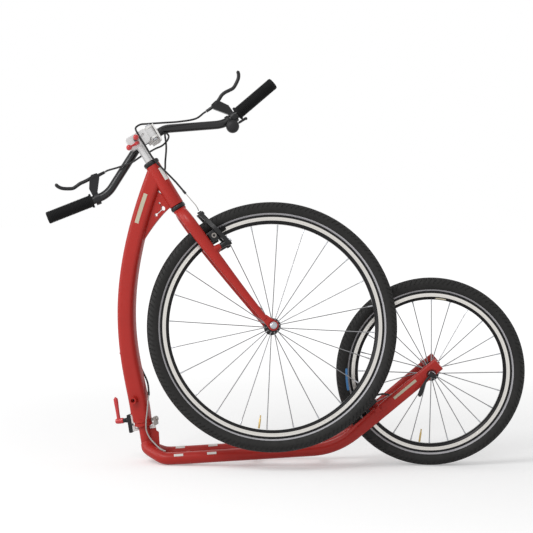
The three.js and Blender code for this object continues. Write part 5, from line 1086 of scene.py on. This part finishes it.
class KICKBIKE_OT_handlebar(Step, bpy.types.Operator):
    """Handlebar and its ribbed grips"""
    bl_idname = "kick_bike.handlebar"
    bl_label = "Handlebar"

    def build(self, look):
        bm = bmesh.new()
        hose(bm, BAR_LINE, 11.1, 32)
        rod(bm, (-19.3, 0, 0), (19.3, 0, 0), 12.7, 40, bevel=0.8)
        piece("handlebar_shown", bm, BAR, ["bar_enamel"], "bar", ["handlebar"])
        length = (BAR_HALF - GRIP_START) / cos(GRIP_TILT) + 3.7
        profile = [(11.5, 0), (18.4, 0), (19, 0.6), (19, 4.4), (18.2, 5), (16, 5.6)]
        rise = 9.0
        while rise < length - 12:
            profile += [(16.0, rise), (15.1, rise + 0.5), (15.1, rise + 1.1), (16.0, rise + 1.6)]
            rise += 4.0
        profile += [(16, length - 4), (15.2, length - 1.6), (13, length - 0.3), (7, length), (0, length)]
        for label, side in (("right", 1), ("left", -1)):
            grip = bmesh.new()
            turned(grip, profile, 48)
            turn = Matrix.Rotation(side * (pi / 2 - GRIP_TILT), 4, "Y")
            place = BAR @ (Matrix.Translation(bar_point(side * GRIP_START)) @ turn)
            piece(f"grip_{label}_shown", grip, place, ["black_rubber"], "bar", ["grip_" + label],
                  sharp=50)


class KICKBIKE_OT_controls(Step, bpy.types.Operator):
    """Brake levers with their brackets, and the bell"""
    bl_idname = "kick_bike.controls"
    bl_label = "Levers and bell"

    def build(self, look):
        for label in ("right", "left"):
            refined("lever_bracket_" + label, "black_paint", 0.8)
        self.blade("right", 1, 5)
        self.blade("left", -1, -5)
        refined("bell_lever", "black_plastic", 0.5)
        self.bell()

    def blade(self, label, side, lift):
        """A brake lever's eye and its bent blade, which hangs a little differently on each side."""
        path = [(3, 3), (12, 5), (23, 8), (35, 9.5), (47, 8.5), (58, 8.5), (71, 15), (83, 24), (89, 33), (91, 42)]
        line = with_tangents(joined(smooth_line([(side * x, 0, z + lift * min(x / 23, 1)) for x, z in path], 6)))

        def section(share):
            end = max(share - 0.95, 0) / 0.051
            return oval(4.5 * sqrt(1 - end * end), 4.7 * sqrt(1 - end * end), 24)
        bm = bmesh.new()
        sweep(bm, line, section)
        rod(bm, (0, -4.5, 0), (0, 4.5, 0), 7, 28, bevel=0.8)
        place = basis(joint(f"brake_lever_{label}_pull")["pos_m"], direction("bar_roll", -1), direction("steer", -1))
        node = "brake_lever_" + label
        piece(node + "_shown", bm, place, ["black_paint"], "lever_" + label, [node])

    def bell(self):
        bar = bar_point(190)
        bm = bmesh.new()
        turned(bm, [(11.5, -4.5), (13.6, -4.5), (14, -4), (14, 4), (13.6, 4.5), (11.5, 4.5)], 40, "X", bar, closed=True)
        dome = [(0, 0), (16.4, 0), (17, 0.6), (17, 3), (16.2, 3.6), (16.2, 4.8), (17, 5.6), (17, 7.6), (16.6, 10.5),
                (15.2, 13.8), (12.6, 16.6), (8.6, 18.4), (4, 19), (0, 19)]
        turned(bm, dome, 48, centre=(bar.x, -15.2, bar.z - 20), turn=Matrix.Rotation(pi / 2, 4, "X"))
        box(bm, (bar.x, -8.5, bar.z - 16.8), (9, 19, 7), 1.0)
        piece("bell_shown", bm, BAR, ["black_plastic"], "bar", ["bell"], sharp=40)


# Brakes
class KICKBIKE_OT_brakes(Step, bpy.types.Operator):
    """Brake arms and shoes of both wheels"""
    bl_idname = "kick_bike.brakes"
    bl_label = "Brakes"

    def build(self, look):
        for prefix, frame_up, out, slope in (("front", STEER, ARM_OUT, ARM_LEAN), ("rear", REAR_BRAKE, 0.0, 0.0)):
            for label in ("near", "far"):
                turn = joint(f"{prefix}_arm_{label}_close")
                place = basis(turn["pos_m"], Vector(turn["axis"]) * (1 if label == "far" else -1), frame_up.col[2].xyz)
                lean = Matrix.Translation((out, 0, 0))
                lean[0][2] = -slope
                if prefix == "front":
                    self.arm_foot(label, place)
                shift = place @ lean @ place.inverted()
                refined(f"{prefix}_brake_arm_{label}", "black_paint", 1.0, shift=shift)
                refined(f"{prefix}_brake_pad_{label}", "black_rubber", 0.8)
                bm = bmesh.new()
                rod(bm, (5.4 + out, 0, 0), (10.2 + out, 0, 0), 4.6, 6, bevel=0.4)
                rod(bm, (5.4 + out, 0, 0), (7.2 + out, 0, 0), 6.4, 28, bevel=0.3)
                piece(f"{prefix}_pivot_bolt_{label}", bm, place, ["steel"], f"{prefix}_arm_{label}")

    def arm_foot(self, label, place):
        """The long foot of a front arm, and the block and washer that hold its pad."""
        side = -1 if label == "near" else 1
        bm = bmesh.new()
        rod(bm, (-8, 0, 0), (14, 0, 0), 7.6, 32, bevel=1.0)
        box(bm, (-10, 0, 31), (22, 9, 28), 2.0)
        washer = [(3.0, 4), (6.2, 4), (6.8, 4.8), (6.4, 6.2), (3.4, 6.2)]
        turned(bm, [(r, side * a) for r, a in washer], 32, "Y", (-8.7, 0, 31.4), material=1, closed=True)
        piece("front_arm_foot_" + label, bm, place, ["black_paint", "forged_steel"], "front_arm_" + label)


# Cables: places of each run in its frames, and the lengths that the joints cut it into
FRONT_CABLE = [(BAR, 153.1, 0, -16.1), (BAR, 147.1, 0, -16.1), (BAR, 122, -5, -19), (BAR, 77, -16, -4),
               (BAR, 43, -24, 12), (STEER, 46, 14, 227), (STEER, 26, -5, 233), (STEER, 11, -17, 229),
               (STEER, 8.5, -20, 212), (STEER, 8.5, -20.5, 180), (STEER, 8.9, -23, 139), (STEER, 18, -24, 95),
               (STEER, 27, -25, 55), (STEER, 32, -28, 22), (STEER, 36, -32, -4), (STEER, 39, -33, -24),
               (STEER, 39, -28, -33), (STEER, 39, -17, -36)]
REAR_CABLE = [(BAR, -153.1, 0, -16.1), (BAR, -147.1, 0, -16.1), (BAR, -116, -17, -26), (BAR, -78, -20, -33),
              (STEER, -16, 22, 164), (STEER, 14, 34, 164), (STEER, 34, 58, 166), (STEER, 54, 67, 165),
              (STEER, 71, 60, 169), (STEER, 79, 43, 176), (STEER, 73, 26, 184), (STEER, 57, 23, 152),
              (STEER, 36, 24, 122), (STEER, 20, 26, 100),
              (FRONT, 31, 26, 628), (FRONT, 14, 24, 590), (FRONT, -8, 23.4, 520), (FRONT, -20, 23.4, 470),
              (FRONT, -34, 23.4, 400), (FRONT, -40, 23.4, 320), (FRONT, -40, 23.4, 240), (FRONT, -32, 23.6, 180),
              (FRONT, -12, 23.6, 135), (FRONT, 6, 17, 102), (FRONT, 15, 0, 76), (FRONT, 18, -15, 54),
              (FRONT, 18, -22, 30), (FRONT, 16, -24, 9), (FRONT, 17, -25, -17), (WORLD, 19, -31, 68),
              (WORLD, 32, -37, 54), (WORLD, 48, -44, 41), (WORLD, 61, -47, 36)]
BRAKE_CABLE = [(REAR_BRAKE, *place) for place in (
    (29, -58, 118), (42, -56, 130), (54, -52, 160), (57, -46, 205), (55, -39, 245), (51, -33, 267), (43, -23, 277),
    (37, -9, 278))]


class KICKBIKE_OT_cables(Step, bpy.types.Operator):
    """Brake cables, in the lengths that the joints cut them into"""
    bl_idname = "kick_bike.cables"
    bl_label = "Brake cables"

    def build(self, look):
        front, rear, brake = (smooth_line([place @ Vector(p) for place, *p in route])
                              for route in (FRONT_CABLE, REAR_CABLE, BRAKE_CABLE))
        self.length("front_cable_bar", front[:5], between=("bar", "yoke"))
        self.length("front_cable_yoke", front[5:9], between=("yoke", "fork"))
        self.length("front_cable_fork", front[9:], rides="fork", bare=4)
        self.length("rear_cable_bar", rear[:6], between=("bar", "yoke"))
        self.length("rear_cable_yoke", rear[6:10], between=("yoke", "fork"))
        self.length("rear_cable_head", rear[10:15], between=("fork", "front_frame"))
        self.length("rear_cable_frame", rear[15:27], rides="front_frame", bare=9)
        self.length("rear_cable_fold", rear[27:], between=("front_frame", "deck"), bare=0)
        self.length("rear_cable_brake", brake, rides="deck")

    def length(self, node, spans, rides=None, between=None, bare=None):
        """One length of cable, black up to the span where its grey part starts, with a ferrule between them."""
        bm = bmesh.new()
        black = len(spans) if bare is None else bare
        thin = WIRE_RADIUS if node == "front_cable_fork" else HOUSING_RADIUS
        if black:
            hose(bm, with_tangents(joined(spans[:black])), CABLE_RADIUS * MM)
        if black < len(spans):
            hose(bm, with_tangents(joined(spans[black:])), thin * MM, material=1)
            if black:
                start, ahead = spans[black][0], spans[black][1]
                along = (ahead - start).normalized() * 5 * MM
                rod(bm, start - along, start + along, FERRULE_RADIUS * MM, 20, bevel=0.4 * MM)
        made = piece(node + "_shown", bm, Matrix.Identity(4), ["cable_sheath", "cable_wire"], rides, [node])
        if between:
            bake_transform(made, *between, start=tuple(spans[0][0]), end=tuple(spans[-1][-1]))


# Fold joint
class KICKBIKE_OT_fold_joint(Step, bpy.types.Operator):
    """Latch blocks, clamp, jaw and the red fold lever"""
    bl_idname = "kick_bike.fold_joint"
    bl_label = "Fold joint"

    def build(self, look):
        refined("fold_spindle", "steel", 0.5)
        for node in ("lower_latch_block_left", "lower_latch_block_right", "upper_latch_block"):
            refined(node, "cast_alloy", 0.8)
        refined("fixed_jaw", "forged_steel", 0.8)
        refined("clamp_stud", "steel", 0.3)
        refined("clamp_bar", "black_paint", 0.9)
        self.lever()

    def lever(self):
        """The red handle: a hub on the stud with an upright arm, and a black nut towards the clamp."""
        stud, reach, height, steps = joint("fold_lever_turn")["pos_m"], 66.8, 64, 12
        place = basis(stud, direction("clamp_slide", -1), direction("fold", -1))
        bm = bmesh.new()
        turned(bm, [(0, -53.5), (6.6, -53.5), (7.4, -55), (7.6, -64), (7.0, -73), (6.0, -75), (0, -75.5)], 40, "X")
        arm = [(Vector((-reach + 0.6 * k / steps, 0, height * k / steps)), Vector((0, 0, 1)))
               for k in range(steps + 1)]

        def section(share):
            end = max(share - 0.95, 0) / 0.051
            swell = mix(4.9, 6.0, smooth(share, 0.3, 0.85)) * sqrt(1 - end * end)
            return oval(swell * 0.8, swell, 28)
        sweep(bm, arm, section)
        rod(bm, (-47.6, 0, 0), (-54, 0, 0), 5.8, 32, material=1, bevel=0.6)
        piece("fold_lever_shown", bm, place, ["red_plastic", "black_plastic"], "fold_handle", ["fold_lever"])


# Studio
class KICKBIKE_OT_studio(bpy.types.Operator):
    """White floor, soft lights and the photo's camera"""
    bl_idname = "kick_bike.studio"
    bl_label = "Studio"

    def execute(self, context):
        scene, studio = context.scene, context.scene.kick_bike_studio
        scene.view_settings.view_transform = "Standard"
        self.floor(studio)
        self.world(scene)
        self.lamp("key_light", (-2.4, -3.2, 3.4), 2.2, studio.key_power)
        self.lamp("fill_left", (-4.0, -1.0, 1.2), 2.4, studio.fill_power)
        self.camera(scene)
        return {"FINISHED"}

    def seen(self, tree):
        """1 for rays that show the background: straight ones, reflections and those through glass."""
        path = add(tree, "ShaderNodeLightPath").outputs
        shown = path["Is Camera Ray"]
        for other in ("Is Glossy Ray", "Is Transmission Ray"):
            shown = add(tree, "ShaderNodeMath", {0: shown, 1: path[other]}, operation="MAXIMUM").outputs[0]
        return shown

    def floor(self, studio):
        """A plain floor that takes the bike's shadow, and glows where it is seen so that it ends in white."""
        material, tree, shader = blank("Studio floor")
        shader.inputs["Base Color"].default_value = linear(studio.floor_colour)
        shader.inputs["Roughness"].default_value = 0.9
        shader.inputs["Specular IOR Level"].default_value = 0.0
        where = add(tree, "ShaderNodeTexCoord").outputs["Object"]
        away = add(tree, "ShaderNodeVectorMath", {0: where}, operation="LENGTH").outputs["Value"]
        ends = {"Value": away, "From Min": 0.6, "From Max": 3.4, "To Min": 0.3, "To Max": 0.62}
        strength = add(tree, "ShaderNodeMapRange", ends, interpolation_type="SMOOTHSTEP").outputs["Result"]
        glow = add(tree, "ShaderNodeEmission", {"Color": (1, 1, 1, 1), "Strength": strength})
        lit = add(tree, "ShaderNodeAddShader", {0: shader.outputs["BSDF"], 1: glow.outputs["Emission"]})
        ways = {0: self.seen(tree), 1: shader.outputs["BSDF"], 2: lit.outputs["Shader"]}
        shown = add(tree, "ShaderNodeMixShader", ways)
        output = next(n for n in tree.nodes if n.type == "OUTPUT_MATERIAL")
        tree.links.new(shown.outputs["Shader"], output.inputs["Surface"])
        bm = bmesh.new()
        bmesh.ops.create_grid(bm, x_segments=1, y_segments=1, size=9)
        mesh = bpy.data.meshes.new("studio_floor")
        bm.to_mesh(mesh)
        bm.free()
        mesh.materials.append(material)
        floor = bpy.data.objects.new("studio_floor", mesh)
        bpy.context.scene.collection.objects.link(floor)

    def world(self, scene):
        """White where it is seen, and softer where it only lights."""
        world = bpy.data.worlds.new("Studio white")
        world.use_nodes = True
        tree = world.node_tree
        tree.nodes.clear()
        soft, white = (add(tree, "ShaderNodeBackground", {"Color": (1, 1, 1, 1), "Strength": strength})
                       for strength in (0.5, 1.0))
        ways = {0: self.seen(tree), 1: soft.outputs["Background"], 2: white.outputs["Background"]}
        shown = add(tree, "ShaderNodeMixShader", ways)
        add(tree, "ShaderNodeOutputWorld", {"Surface": shown.outputs["Shader"]})
        scene.world = world

    def lamp(self, name, away, size, power):
        """A round light that stands a way in metres from the bike's middle, and looks at it."""
        target = FOLD + Vector((0.35, 0, 0.4))
        where = target + Vector(away)
        data = bpy.data.lights.new(name, "AREA")
        data.shape = "DISK"
        data.size = size
        data.energy = power
        lamp = bpy.data.objects.new(name, data)
        bpy.context.scene.collection.objects.link(lamp)
        lamp.location = where
        lamp.rotation_euler = (target - where).to_track_quat("-Z", "Y").to_euler()

    def camera(self, scene):
        """The photo's camera, from the place and turn that fit it."""
        yaw, pitch, roll = CAMERA_YAW, CAMERA_PITCH, CAMERA_ROLL
        ahead = Vector((sin(yaw) * cos(pitch), cos(yaw) * cos(pitch), -sin(pitch)))
        right = ahead.cross(Vector((0, 0, 1))).normalized()
        up = right.cross(ahead)
        right, up = right * cos(roll) + up * sin(roll), up * cos(roll) - right * sin(roll)
        data = bpy.data.cameras.new("photo_camera")
        data.sensor_width = 36
        data.lens = CAMERA_LENS
        data.clip_end = 60
        camera = bpy.data.objects.new("photo_camera", data)
        scene.collection.objects.link(camera)
        turn = Matrix((right, up, -ahead)).transposed().to_4x4()
        camera.matrix_world = Matrix.Translation(WORLD @ Vector(CAMERA_PLACE)) @ turn
        scene.camera = camera


class KICKBIKE_PT_panel(bpy.types.Panel):
    """Lists the settings and every step of the build"""
    bl_idname = "KICKBIKE_PT_panel"
    bl_label = "Kick Bike"
    bl_space_type = "VIEW_3D"
    bl_region_type = "UI"
    bl_category = "Kick Bike"

    def draw(self, context):
        for settings in (context.scene.kick_bike_look, context.scene.kick_bike_studio):
            for name in settings.__annotations__:
                self.layout.prop(settings, name)
        for operator in STEPS:
            self.layout.operator(operator.bl_idname)


STEPS = (KICKBIKE_OT_studio, KICKBIKE_OT_tyres, KICKBIKE_OT_wheels, KICKBIKE_OT_deck, KICKBIKE_OT_front_frame,
         KICKBIKE_OT_fork, KICKBIKE_OT_stem, KICKBIKE_OT_handlebar, KICKBIKE_OT_controls, KICKBIKE_OT_brakes,
         KICKBIKE_OT_cables, KICKBIKE_OT_fold_joint)
CLASSES = (KickBikeLook, KickBikeStudio) + STEPS + (KICKBIKE_PT_panel,)


def register():
    for cls in CLASSES:
        bpy.utils.register_class(cls)
    bpy.types.Scene.kick_bike_look = bpy.props.PointerProperty(type=KickBikeLook)
    bpy.types.Scene.kick_bike_studio = bpy.props.PointerProperty(type=KickBikeStudio)


def unregister():
    del bpy.types.Scene.kick_bike_studio
    del bpy.types.Scene.kick_bike_look
    for cls in reversed(CLASSES):
        bpy.utils.unregister_class(cls)


def main():
    register()
    for operator in STEPS:
        area, name = operator.bl_idname.split(".")
        getattr(getattr(bpy.ops, area), name)()


if __name__ == "__main__":
    main()
